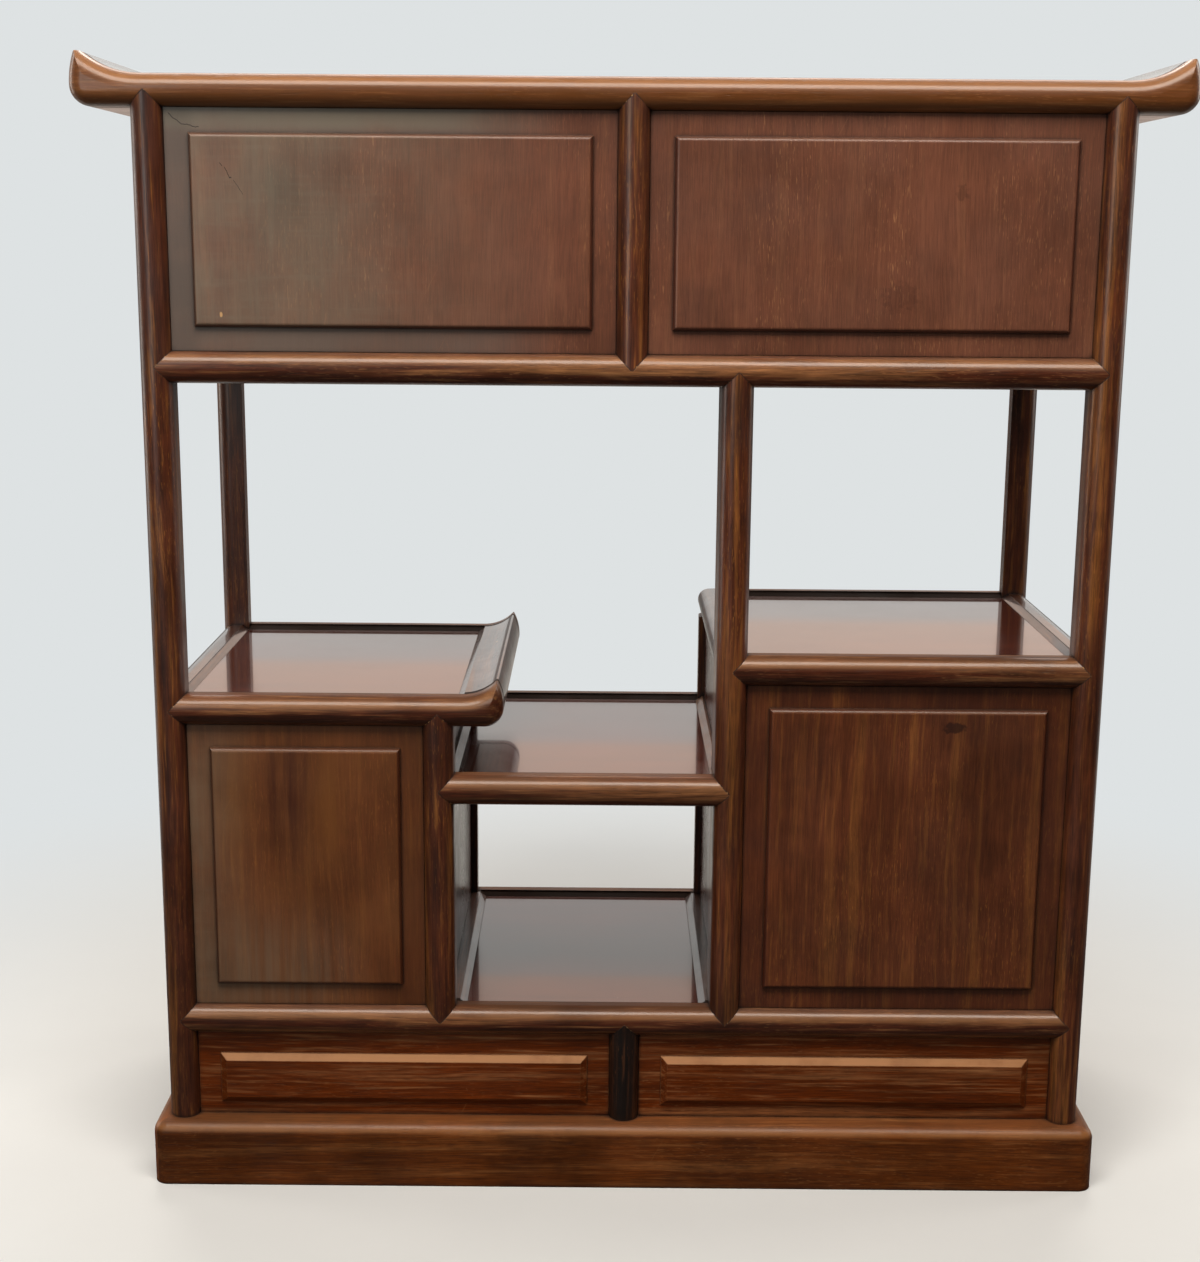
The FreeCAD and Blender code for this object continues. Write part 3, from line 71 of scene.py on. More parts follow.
# Lines of wax in the joints, and marks of the upper left panel: their corners along X and Z, how deep they
# lie and how wide they are
JOINT_TURN, JOINT_STEPS = math.radians(86), 22
PANEL_CRACKS = (
    (((-0.3826, 0.9428), (-0.3785, 0.9392), (-0.3726, 0.9347), (-0.3645, 0.9328), (-0.3572, 0.9316)),
     FIELD_LIFT, 1.0),
    (((-0.3407, 0.9029), (-0.3385, 0.9012)), 0.0, 0.6),
    (((-0.3367, 0.8998), (-0.3325, 0.8916), (-0.331, 0.891)), 0.0, 0.9),
    (((-0.3297, 0.8894), (-0.3218, 0.8783)), 0.0, 0.5),
)
CRACK_STEPS = 40
CRACK_WAVERS = ((0.0004, 5), (0.0002, 17))

# Stage, in metres; a lamp has a name, the setting of its power, a size, a place, a target and a colour
CARD_PLACE, CARD_REACH = 1.42, 1.6
CARD_FOOT, CARD_HEAD, CARD_FADE = 0.762, 0.95, 0.018
FLOOR_RADIUS, FLOOR_DROP = 40.0, 0.0002
WARM, COOL = (1.0, 0.93, 0.85), (0.95, 1.0, 0.98)
WIDE, TALL = (2.4, 0.8), (0.7, 1.5)
LAMPS = (
    ("softbox", "softbox_power", WIDE, (0, -1.15, 2.3), (0, -0.15, 0.5), WARM),
    ("rear_softbox", "rear_power", WIDE, (0, 1.5, 2.3), (0, 0.15, 0.5), WARM),
    ("window", "window_power", TALL, (-1.2, -2.0, 1.2), (0, -0.2, 0.6), COOL),
    ("left_fill", "left_power", TALL, (-2.5, 0.5, 0.9), (0, 0, 0.5), WARM),
    ("right_fill", "right_power", TALL, (2.5, 0.7, 1.2), (0, 0, 0.5), WARM),
)


def tone(code):
    """Linear colour of a six-figure screen colour."""
    shares = [int(code[at:at + 2], 16) / 255 for at in (0, 2, 4)]
    return tuple(c / 12.92 if c <= 0.04045 else ((c + 0.055) / 1.055) ** 2.4 for c in shares)


def colour(label, note, code):
    """Colour property."""
    return bpy.props.FloatVectorProperty(
        name=label, description=note, subtype="COLOR", size=3, min=0, max=1, default=tone(code)
    )


def share(label, note, default):
    """Property from 0 to 1."""
    return bpy.props.FloatProperty(
        name=label, description=note, subtype="FACTOR", min=0, max=1, default=default
    )


def length(label, note, default):
    """Length property, in metres."""
    return bpy.props.FloatProperty(name=label, description=note, unit="LENGTH", default=default)


def angle(label, note, degrees):
    """Angle property."""
    return bpy.props.FloatProperty(
        name=label, description=note, subtype="ANGLE", default=math.radians(degrees)
    )


def power(label, note, default):
    """Power of a lamp, in watts."""
    return bpy.props.FloatProperty(name=label, description=note, unit="POWER", default=default)


def place(label, note, default):
    """Property for a place in the row frame, in metres."""
    return bpy.props.FloatVectorProperty(
        name=label, description=note, subtype="XYZ", unit="LENGTH", size=3, default=default
    )


# What each value of a wood sets, in the order of the table of woods
WOOD_FIELDS = {
    "ground": "Main colour of",
    "dark": "Dark streaks of",
    "pale": "Pale streaks and worn edges of",
    "roughness": "Roughness of",
    "gloss": "Strength of the plain gloss of",
    "coat": "Weight of the polish on",
    "coat_roughness": "Roughness of the polish on",
    "streaks": "Strength of the streaks in",
    "fibres": "Strength of the fine fibres in",
    "flecks": "Strength of the pale flecks in",
    "blotches": "Strength of the cloudy patches on",
    "edges": "How far rubbing has paled the edges of",
    # Upper faces pale both as a painted highlight of the lamp above and by rubbing; the pale colour serves
    # both
    "tops": "How far rubbing has paled the upper faces of",
}


def wood_group(name, wood, *looks):
    """Property group of one wood: its colours, finish, figure and wear."""
    values = [value for part in looks for value in part]
    fields = {}
    for (field, note), value in zip(WOOD_FIELDS.items(), values, strict=True):
        kind = colour if isinstance(value, str) else share
        fields[field] = kind(field.replace("_", " ").capitalize(), f"{note} the {wood}", value)
    body = {"__doc__": f"Looks of the {wood}.", "__annotations__": fields}
    return type(f"Cabinet{name.title()}Wood".replace("_", ""), (bpy.types.PropertyGroup,), body)


# Woods: what they are for, then their colours, finish, figure, and wear with the painted highlight on upper
# faces
WOODS = {
    "rail": (
        "rails",
        ("502513", "240F06", "A27046"), (0.4, 0.28, 0.5, 0.13), (0.85, 0.95, 0.4, 0.5), (0.55, 0.55),
    ),
    "post": (
        "posts",
        ("562A16", "260F08", "9A632C"), (0.4, 0.4, 0.26, 0.22), (0.85, 0.95, 0.5, 0.6), (0.55, 0.0),
    ),
    "side_rail": (
        "rails beside the shelves",
        ("482719", "2A130C", "8E5A30"), (0.36, 0.45, 1.0, 0.06), (0.65, 0.8, 0.2, 0.4), (0.5, 0.0),
    ),
    "muntin": (
        "short posts of the low stage",
        ("22120C", "0E0704", "6B3F22"), (0.42, 0.35, 0.3, 0.2), (0.9, 0.7, 0.5, 0.5), (0.4, 0.0),
    ),
    "upper": (
        "upper panels",
        ("673D2B", "4C281A", "A4724C"), (0.46, 0.25, 0.45, 0.32), (0.16, 0.45, 0.45, 0.5), (0.4, 0.2),
    ),
    "lower": (
        "lower panels",
        ("5E3019", "3A190A", "A0662E"), (0.46, 0.25, 0.45, 0.3), (0.42, 0.55, 0.4, 0.65), (0.4, 0.2),
    ),
    "base": (
        "panels of the low stage",
        ("652902", "341301", "BA8456"), (0.44, 0.22, 0.1, 0.34), (0.55, 0.85, 0.2, 0.35), (0.6, 0.8),
    ),
    "shelf": (
        "shelves",
        ("54251A", "38150E", "7A4029"), (0.16, 0.5, 1.0, 0.035), (0.5, 0.4, 0.2, 0.3), (0.3, 0.0),
    ),
    "wall": (
        "walls of the open bay",
        ("4A2318", "2E140D", "6E3A26"), (0.3, 0.3, 0.15, 0.12), (0.4, 0.4, 0.2, 0.3), (0.3, 0.0),
    ),
    "plinth": (
        "plinth",
        ("622F09", "3A1805", "AA7140"), (0.42, 0.28, 0.12, 0.32), (0.4, 0.85, 0.3, 0.8), (0.7, 0.55),
    ),
    "lining": (
        "unpolished linings",
        ("7C6042", "5E452C", "A1845E"), (0.68, 0.3, 0.0, 0.5), (0.6, 0.7, 0.2, 0.4), (0.2, 0.0),
    ),
}


class CabinetDetails(bpy.types.PropertyGroup):
    """Sizes and colours of wear, joints and fittings."""

    edge_radius: length("Edge radius", "How far the shading rounds sharp edges", 0.0011)
    # Reach of the painted shade and grime in corners
    grime_and_shade_reach: length("Grime reach", "How far dust and wax reach out of corners", 0.006)
    joint_line: length("Joint line", "Radius of the dark line of wax in a joint", 0.00035)
    crack_width: length("Crack width", "Radius of the hairline crack in the upper panel", 0.0003)
    brass: colour("Brass", "Polished brass", "A9853F")
    tarnish: colour("Tarnish", "Tarnished brass", "4B381B")
    # Also the colour of painted shade in corners and on the slope round a shelf
    grime_and_shade: colour("Grime", "Old wax and dust in corners", "160B07")
    # Painted sheen of the window on the polish, with bloom
    sheen_and_bloom: colour("Bloom", "Grey haze on the polish of the left panels", "7A7462")
    golden: colour("Golden", "Golden ground of the left panel and of the top rail", "7A4A20")
    knot: colour("Knot", "Heart of the knots in the right panels", "26100A")
    chip: colour("Chip", "Bare wood where the polish has chipped", "C79A66")
    # Painted sheen on the border
    haze: colour("Haze", "Grey-brown haze on the border of the upper left panel", "5F5048")
    # Also painted shade on the fields' rounded edges and on darker lower borders
    heart_and_shade: colour("Heart", "Dark red of the old heartwood and of the fields' edges", "33110A")
    dust: colour("Dust", "Specks of dust on the shelves", "B9AA9C")


class CabinetStage(bpy.types.PropertyGroup):
    """Camera, lamps, floor and backdrop."""

    lens: bpy.props.FloatProperty(name="Lens", description="Focal length", unit="CAMERA", default=53.77)
    camera: place("Camera", "Place of the camera", (-0.0236, -1.7559, 0.8473))
    pitch: angle("Pitch", "How far the camera looks down", 11.855)
    yaw: angle("Yaw", "How far the camera looks right", -0.047)
    roll: angle("Roll", "How far the camera leans", 0.462)
    backdrop: colour("Backdrop", "Colour behind the cabinet", "DEE2E3")
    mirrored: colour("Mirrored", "Colour that the polish mirrors behind the cabinet", "DCDCD9")
    floor: colour("Floor", "Colour of the floor", "E2E3E2")
    card: colour("Card", "Colour of the card that warms the near halves of the shelves", "F4D9C8")
    ambient: share("Ambient", "Strength of the light from all round", 0.09)
    softbox_power: power("Softbox", "Power of the lamp above the panelled back", 56.0)
    rear_power: power("Rear softbox", "Power of the lamp above the doors", 42.0)
    window_power: power("Window", "Power of the tall lamp at the left of the back", 10.0)
    left_power: power("Left fill", "Power of the lamp beside the left end", 13.0)
    right_power: power("Right fill", "Power of the lamp beside the right end", 11.0)


class Tree:
    """Short way to lay out the nodes of a material, a group or the world."""

    def __init__(self, tree):
        self.tree = tree
        self.step = 0

    def add(self, kind, inputs=None, **settings):
        """Add a node, give it its settings, and link or set its inputs by name or number."""
        node = self.tree.nodes.new(kind)
        node.location = (220 * (self.step % 12), -260 * (self.step // 12))
        self.step += 1
        for name, value in settings.items():
            setattr(node, name, value)
        for name, value in (inputs or {}).items():
            self.put(node.inputs[name], value)
        return node

    def put(self, socket, value):
        """Link a socket, or set its own value."""
        if isinstance(value, bpy.types.NodeSocket):
            self.tree.links.new(value, socket)
        elif socket.type == "RGBA" and len(value) == 3:
            socket.default_value = (*value, 1)
        else:
            socket.default_value = value

    def math(self, operation, first, second=0.0, clamp=False):
        """One sum with values."""
        node = self.add("ShaderNodeMath", {0: first, 1: second}, operation=operation, use_clamp=clamp)
        return node.outputs[0]

    def times(self, first, *others):
        """Product of values."""
        for other in others:
            first = self.math("MULTIPLY", first, other)
        return first

    def vector(self, operation, first, second):
        """One sum with vectors."""
        node = self.add("ShaderNodeVectorMath", {0: first, 1: second}, operation=operation)
        return node.outputs["Value" if operation == "DOT_PRODUCT" else "Vector"]

    def length(self, vector):
        """Length of a vector."""
        return self.add("ShaderNodeVectorMath", {0: vector}, operation="LENGTH").outputs["Value"]

    def object_spot(self):
        """Object coordinates."""
        return self.add("ShaderNodeTexCoord").outputs["Object"]

    def parts(self, vector):
        """The parts of a vector, by name."""
        return self.add("ShaderNodeSeparateXYZ", {0: vector}).outputs

    def noise(self, vector, stretch, detail=2.0, roughness=0.5, output=0):
        """Noise that is stretched along the axes; stretch is the number of waves in a metre."""
        scaled = self.vector("MULTIPLY", vector, stretch)
        return self.add("ShaderNodeTexNoise", {
            "Vector": scaled, "Scale": 1.0, "Detail": detail, "Roughness": roughness
        }).outputs[output]

    def ramp(self, value, low, high, start=0.0, stop=1.0):
        """Smooth step from start to stop while a value goes from low to high."""
        node = self.add("ShaderNodeMapRange", {
            "Value": value, "From Min": low, "From Max": high, "To Min": start, "To Max": stop
        }, interpolation_type="SMOOTHSTEP")
        return node.outputs["Result"]

    def mix(self, factor, first, second, blend="MIX"):
        """Mix of two colours."""
        node = self.add(
            "ShaderNodeMix", {0: factor, 6: first, 7: second}, data_type="RGBA", blend_type=blend
        )
        return node.outputs[2]

    def choose(self, factor, first, second):
        """Mix of two vectors."""
        node = self.add("ShaderNodeMix", {0: factor, 4: first, 5: second}, data_type="VECTOR")
        return node.outputs[1]

    def group(self, shared, inputs):
        """Place a shared group."""
        return self.add("ShaderNodeGroup", inputs, node_tree=shared).outputs

    def surface(self, shader):
        """Send a shader to the material's output."""
        self.add("ShaderNodeOutputMaterial", {"Surface": shader.outputs[0]})


def new_material(name):
    """Empty material and its tree."""
    material = bpy.data.materials.new(name)
    material.use_nodes = True
    material.node_tree.nodes.clear()
    return material, Tree(material.node_tree)


def new_group(name, inputs, outputs):
    """Empty shader node group with named sockets."""
    shared = bpy.data.node_groups.new(name, "ShaderNodeTree")
    for label, kind in inputs:
        shared.interface.new_socket(label, in_out="INPUT", socket_type=f"NodeSocket{kind}")
    for label, kind in outputs:
        shared.interface.new_socket(label, in_out="OUTPUT", socket_type=f"NodeSocket{kind}")
    tree = Tree(shared)
    given = tree.add("NodeGroupInput").outputs
    result = tree.add("NodeGroupOutput").inputs
    return shared, tree, given, result


def grain_group():
    """Wood that runs along the first axis: bands, streaks, fibres, pores, flecks and cloudy patches.

    Each is noise drawn out along the grain, on coordinates that wander a little across it.
    """
    shared, tree, given, result = new_group(
        "wood_grain",
        [("Vector", "Vector"), ("Ground", "Color"), ("Dark", "Color"), ("Pale", "Color"),
         ("Streaks", "Float"), ("Fibres", "Float"), ("Flecks", "Float"), ("Blotches", "Float")],
        [("Color", "Color"), ("Height", "Float")],
    )
    drift = tree.noise(given["Vector"], (2.0, 7.0, 7.0), 3.0, output="Color")
    drift = tree.vector("SUBTRACT", drift, (0.5, 0.5, 0.5))
    drift = tree.vector("MULTIPLY", drift, (0.0, 0.022, 0.022))
    spot = tree.vector("ADD", given["Vector"], drift)
    bands = tree.ramp(tree.noise(spot, (0.9, 17.0, 17.0), 3.0), 0.36, 0.64)
    broad = tree.noise(spot, (2.2, 75.0, 75.0), 4.0, 0.6)
    streaks = tree.noise(spot, (11.0, 290.0, 290.0), 5.0, 0.62)
    fibres = tree.noise(spot, (42.0, 1250.0, 1250.0), 3.0, 0.6)
    pores = tree.ramp(tree.noise(spot, (55.0, 900.0, 900.0), 2.0), 0.38, 0.28)
    patch = tree.ramp(tree.noise(given["Vector"], (6.0, 15.0, 15.0), 2.0), 0.42, 0.62)
    flecks = tree.ramp(tree.noise(spot, (120.0, 1150.0, 1150.0), 1.0), 0.63, 0.72)
    flecks = tree.times(flecks, patch)
    cloud = tree.ramp(tree.noise(given["Vector"], (8.0, 9.0, 9.0), 5.0, 0.65), 0.3, 0.7)

    def brighten(shade, factor):
        grey = tree.add("ShaderNodeCombineColor", {0: factor, 1: factor, 2: factor}).outputs[0]
        return tree.mix(1.0, shade, grey, "MULTIPLY")

    shade = tree.mix(tree.times(bands, given["Streaks"], 0.4), given["Ground"], given["Dark"])
    for figure, dark_share, pale_share in ((broad, 0.6, 0.5), (streaks, 0.65, 0.5)):
        dark = tree.times(tree.ramp(figure, 0.5, 0.34), given["Streaks"], dark_share)
        pale = tree.times(tree.ramp(figure, 0.52, 0.7), given["Streaks"], pale_share)
        shade = tree.mix(pale, tree.mix(dark, shade, given["Dark"]), given["Pale"])
    fine = tree.ramp(fibres, 0.3, 0.7, -0.36, 0.36)
    shade = brighten(shade, tree.math("ADD", tree.times(fine, given["Fibres"]), 1.0))
    shade = tree.mix(tree.times(pores, given["Fibres"], 0.55), shade, given["Dark"])
    shade = tree.mix(tree.times(flecks, given["Flecks"], 0.9), shade, given["Pale"])
    clouds = tree.times(tree.math("SUBTRACT", cloud, 0.5), given["Blotches"])
    shade = brighten(shade, tree.math("ADD", clouds, 1.0))
    tree.put(result["Color"], shade)
    height = tree.times(fibres, 0.4)
    height = tree.math("SUBTRACT", height, tree.times(pores, 0.7))
    height = tree.math("ADD", height, tree.times(streaks, 0.5))
    tree.put(result["Height"], height)
    return shared


def wear_group():
    """Mask of edges that hands have rubbed: where a rounded normal leaves the true one, broken by noise.

    It also gives that rounded normal, and how far it looks up.
    """
    shared, tree, given, result = new_group(
        "edge_wear", [("Vector", "Vector"), ("Radius", "Float")],
        [("Mask", "Float"), ("Normal", "Vector"), ("Up", "Float")],
    )
    rounded = tree.add("ShaderNodeBevel", {"Radius": given["Radius"]}, samples=4).outputs[0]
    flat = tree.add("ShaderNodeNewGeometry").outputs["Normal"]
    bend = tree.math("SUBTRACT", 1.0, tree.vector("DOT_PRODUCT", rounded, flat))
    ragged = tree.noise(given["Vector"], (70.0, 70.0, 70.0), 5.0, 0.7)
    edge = tree.times(tree.ramp(bend, 0.01, 0.16), tree.ramp(ragged, 0.36, 0.62))
    tree.put(result["Mask"], edge)
    tree.put(result["Normal"], rounded)
    tree.put(result["Up"], tree.vector("DOT_PRODUCT", rounded, (0.0, 0.0, 1.0)))
    return shared


def painted_shade_group():
    """Mask of old wax in corners: surfaces near by hide the sky there."""
    shared, tree, given, result = new_group(
        "corner_grime", [("Vector", "Vector"), ("Reach", "Float")], [("Mask", "Float")]
    )
    open_sky = tree.add("ShaderNodeAmbientOcclusion", {"Distance": given["Reach"]}, samples=6).outputs["AO"]
    ragged = tree.noise(given["Vector"], (45.0, 45.0, 45.0), 4.0, 0.6)
    closed = tree.ramp(open_sky, 0.86, 0.5)
    tree.put(result["Mask"], tree.times(closed, tree.ramp(ragged, 0.2, 0.6, 0.55, 1.0)))
    return shared


def marks_group():
    """Fine scratches in two directions, smears of handling, and level and upright rubs of a cloth."""
    shared, tree, given, result = new_group(
        "handling_marks", [("Vector", "Vector")],
        [("Scratches", "Float"), ("Smears", "Float"), ("Rubs", "Float")],
    )
    lines = []
    for turn, stretch in ((0.5, (9.0, 1500.0, 9.0)), (-0.9, (1300.0, 7.0, 1300.0))):
        turned = tree.add("ShaderNodeMapping", {"Vector": given["Vector"], "Rotation": (turn, turn, turn)})
        fine = tree.noise(turned.outputs[0], stretch, 1.0)
        lines.append(tree.ramp(fine, 0.73, 0.78))
    patches = tree.ramp(tree.noise(given["Vector"], (11.0, 11.0, 11.0), 2.0), 0.5, 0.7)
    tree.put(result["Scratches"], tree.times(tree.math("MAXIMUM", *lines), patches))
    tree.put(result["Smears"], tree.noise(given["Vector"], (13.0, 13.0, 13.0), 5.0, 0.62))
    level, upright = (
        tree.noise(given["Vector"], stretch, 3.0)
        for stretch in ((15.0, 15.0, 260.0), (260.0, 15.0, 15.0))
    )
    tree.put(result["Rubs"], tree.ramp(tree.math("MAXIMUM", level, upright), 0.45, 0.72))
    return shared


def spot_group():
    """Mask of one soft spot: full at its centre, gone at its size, with a ragged rim."""
    shared, tree, given, result = new_group(
        "single_spot", [("Vector", "Vector"), ("Centre", "Vector"), ("Size", "Vector")], [("Mask", "Float")]
    )
    away = tree.vector("DIVIDE", tree.vector("SUBTRACT", given["Vector"], given["Centre"]), given["Size"])
    away = tree.length(away)
    ragged = tree.noise(given["Vector"], (240.0, 240.0, 240.0), 3.0, 0.6)
    away = tree.math("ADD", away, tree.ramp(ragged, 0.25, 0.75, -0.35, 0.35))
    tree.put(result["Mask"], tree.ramp(away, 1.0, 0.55))
    return shared


shared_groups = {}


def shared_group(name):
    """The named group, made when it is first asked for."""
    makers = {
        "grain": grain_group, "wear": wear_group, "grime_and_shade": painted_shade_group, "marks": marks_group,
        "spot": spot_group,
    }
    if name not in shared_groups:
        shared_groups[name] = makers[name]()
    return shared_groups[name]


def surface_effects(tree, spot, details):
    """Place the groups of worn edges, grime in corners and handling marks."""
    return (
        tree.group(shared_group("wear"), {"Vector": spot, "Radius": details.edge_radius}),
        tree.group(shared_group("grime_and_shade"), {"Vector": spot, "Reach": details.grime_and_shade_reach}),
        tree.group(shared_group("marks"), {"Vector": spot}),
    )


def grain_along(tree, axis):
    """Object coordinates turned so that the grain's axis comes first."""
    turned = tree.add("ShaderNodeMapping", {"Vector": tree.object_spot(), "Rotation": GRAIN_TURNS[axis]})
    return turned.outputs[0]


def recess_mask(tree, spot):
    """Mask of the slope that leads from the back and front rails down to a shelf."""
    depth = tree.math("ABSOLUTE", tree.parts(spot)["Y"])
    inside = tree.math("LESS_THAN", depth, RECESS_FOOT + RECESS_SLOPE)
    return tree.times(inside, tree.math("GREATER_THAN", depth, RECESS_FOOT - RECESS_LAP))


def wood_material(name, wood, grain, details, relief=GRAIN_RELIEF, touches=(), waxed=0.0):
    """Polished or plain wood; grain is an axis, or a function that lays out coordinates along it.

    A touch paints one kind of mark onto the figure: it has a function that lays out its mask, the sizes
    for that function, a colour of the details and a strength. Waxed is the share of dark old wax on the
    slope round a shelf.
    """
    material, tree = new_material(name)
    vector = grain(tree) if callable(grain) else grain_along(tree, grain)
    spot = tree.object_spot()
    figure = tree.group(shared_group("grain"), {
        "Vector": vector, "Ground": wood.ground, "Dark": wood.dark, "Pale": wood.pale,
        "Streaks": wood.streaks, "Fibres": wood.fibres, "Flecks": wood.flecks, "Blotches": wood.blotches,
    })
    wear, grime_and_shade, marks = surface_effects(tree, spot, details)
    shade = figure["Color"]
    for mask, sizes, pigment, strength in touches:
        amount = tree.times(mask(tree, spot, marks, *sizes), strength)
        shade = tree.mix(amount, shade, getattr(details, pigment))
    # Painted highlight with wear: faces that look up, most where they roll over, pale as where the lamp
    # lights them and hands rub them
    level = tree.ramp(wear["Up"], 0.93, 0.62, 0.3, 1.0)
    rolled = tree.times(tree.ramp(wear["Up"], 0.12, 0.52), level)
    tops = tree.times(rolled, tree.ramp(marks["Smears"], 0.3, 0.55, 0.55, 1.0), wood.tops)
    worn = tree.math("MAXIMUM", tree.times(wear["Mask"], wood.edges), tops)
    shade = tree.mix(worn, shade, wood.pale)
    shade = tree.mix(tree.times(marks["Scratches"], 0.25), shade, wood.pale)
    # Painted shade with grime: where surfaces near by hide the sky, the colour darkens
    dirt_and_shade = tree.times(grime_and_shade["Mask"], tree.math("SUBTRACT", 0.92, tree.times(tops, 0.8)))
    dusty = tree.ramp(wear["Up"], 0.8, 0.97, 0.0, wood.tops)
    # Painted shade on the slope round a shelf, darker and duller
    if waxed:
        wax = tree.times(recess_mask(tree, spot), waxed)
        dirt_and_shade = tree.math("MAXIMUM", dirt_and_shade, wax)
        dusty = tree.math("MAXIMUM", dusty, wax)
    shade = tree.mix(dirt_and_shade, shade, details.grime_and_shade)
    dull = tree.ramp(marks["Smears"], 0.35, 0.7, wood.roughness * 0.82, wood.roughness * 1.25)
    dull = tree.math("ADD", dull, tree.times(grime_and_shade["Mask"], 0.25))
    dull = tree.math("ADD", dull, tree.times(dusty, 0.55), clamp=True)
    raised = tree.add("ShaderNodeBump", {
        "Strength": 0.6, "Distance": relief, "Height": figure["Height"], "Normal": wear["Normal"]
    })
    polish = tree.ramp(wear["Up"], 0.6, 0.9, min(wood.coat, SIDE_POLISH), wood.coat)
    polish = tree.times(polish, tree.math("SUBTRACT", 1.0, dusty))
    shader = tree.add("ShaderNodeBsdfPrincipled", {
        "Base Color": shade, "Roughness": dull, "Normal": raised.outputs[0], "Coat Weight": polish,
        "Coat Roughness": wood.coat_roughness, "Specular IOR Level": wood.gloss,
    })
    tree.surface(shader)
    return material


def growing(tree, spot, start, stop):
    """Mask of the cabinet's panelled back that grows from start to stop along X."""
    parts = tree.parts(spot)
    return tree.times(tree.ramp(parts["X"], start, stop), tree.math("LESS_THAN", parts["Y"], 0.0))


def field_depth(part):
    """Depth along Y, part of the way from the face of a raised field of the back to its border."""
    return FIELD_FACE + part * FIELD_LIFT


def cloudy_sheen_and_bloom(tree, spot, marks, start, stop):
    """Mask of bloom on the polish, cloudy and rubbed, growing along X."""
    rubbed = tree.math("ADD", tree.times(marks["Rubs"], 0.2), 0.85)
    cloudy = tree.ramp(marks["Smears"], 0.25, 0.7, 0.5, 1.05)
    return tree.times(growing(tree, spot, start, stop), cloudy, rubbed)


def border(tree, spot, marks, start, stop, floor=0.0):
    """Mask of the borders round the raised fields above a floor, cloudy, growing along X."""
    parts = tree.parts(spot)
    low = tree.math("GREATER_THAN", parts["Y"], field_depth(0.7))
    high = tree.ramp(parts["Z"], floor, floor + 0.012)
    cloudy = tree.ramp(marks["Smears"], 0.3, 0.65, 0.55, 1.0)
    return tree.times(growing(tree, spot, start, stop), low, high, cloudy)


def field_edge_shade(tree, spot, marks):
    """Mask of the rounded edges of the raised fields."""
    depth = tree.parts(spot)["Y"]
    below = tree.ramp(depth, field_depth(0.02), field_depth(0.15))
    return tree.times(below, tree.ramp(depth, field_depth(0.98), field_depth(0.85)))


def dust_specks(tree, spot, marks):
    """Mask of small specks of dust in patches."""
    grains = tree.ramp(tree.noise(spot, (430.0, 430.0, 430.0), 1.0), 0.77, 0.81)
    return tree.times(grains, tree.ramp(marks["Smears"], 0.42, 0.6))


def left_board(tree, spot, marks, edge):
    """Mask of the boards of the back that lie left of an edge, cloudy."""
    parts = tree.parts(spot)
    back = tree.math("LESS_THAN", parts["Y"], 0.0)
    cloudy = tree.ramp(marks["Smears"], 0.3, 0.65, 0.4, 1.0)
    return tree.times(tree.math("LESS_THAN", parts["X"], edge), back, cloudy)


def broad_patch(tree, spot, marks, centre, size):
    """Mask of a wide soft patch, streaked along an upright grain."""
    away = tree.length(tree.vector("DIVIDE", tree.vector("SUBTRACT", spot, centre), size))
    streaky = tree.noise(spot, (150.0, 150.0, 6.0), 3.0)
    return tree.times(tree.ramp(away, 1.0, 0.1), tree.ramp(streaky, 0.3, 0.65, 0.35, 1.0))


def over(tree, spot, marks, height):
    """Mask of what lies above a height."""
    return tree.math("GREATER_THAN", tree.parts(spot)["Z"], height)


def one_spot(tree, spot, marks, centre, size):
    """Mask of one spot with a ragged rim."""
    return tree.group(shared_group("spot"), {"Vector": spot, "Centre": centre, "Size": size})["Mask"]


def dress(names, material):
    """Give solids their material."""
    for name in names:
        mesh = nodes[name].data
        mesh.materials.clear()
        mesh.materials.append(material)


def finish_wood(context, names, material, wood, grain, **more):
    """Dress solids in one of the woods of the settings."""
    scene = context.scene
    looks = getattr(scene, f"cabinet_{wood}_wood")
    dress(names, wood_material(material, looks, grain, scene.cabinet_details, **more))


def new_piece(name, spots, faces, material, smooth=False):
    """Mesh object at the origin from arrays of places and faces."""
    mesh = bpy.data.meshes.new(name)
    mesh.from_pydata(np.asarray(spots).tolist(), [], [list(face) for face in faces])
    if smooth:
        mesh.shade_smooth()
    mesh.materials.append(material)
    piece = bpy.data.objects.new(name, mesh)
    bpy.context.scene.collection.objects.link(piece)
    return piece


def grid_quads(rows, columns):
    """Quads of a grid of points, row by row."""
    spot = np.arange(rows * columns).reshape(rows, columns)
    return np.stack([spot[:-1, :-1], spot[:-1, 1:], spot[1:, 1:], spot[1:, :-1]], axis=-1).reshape(-1, 4)


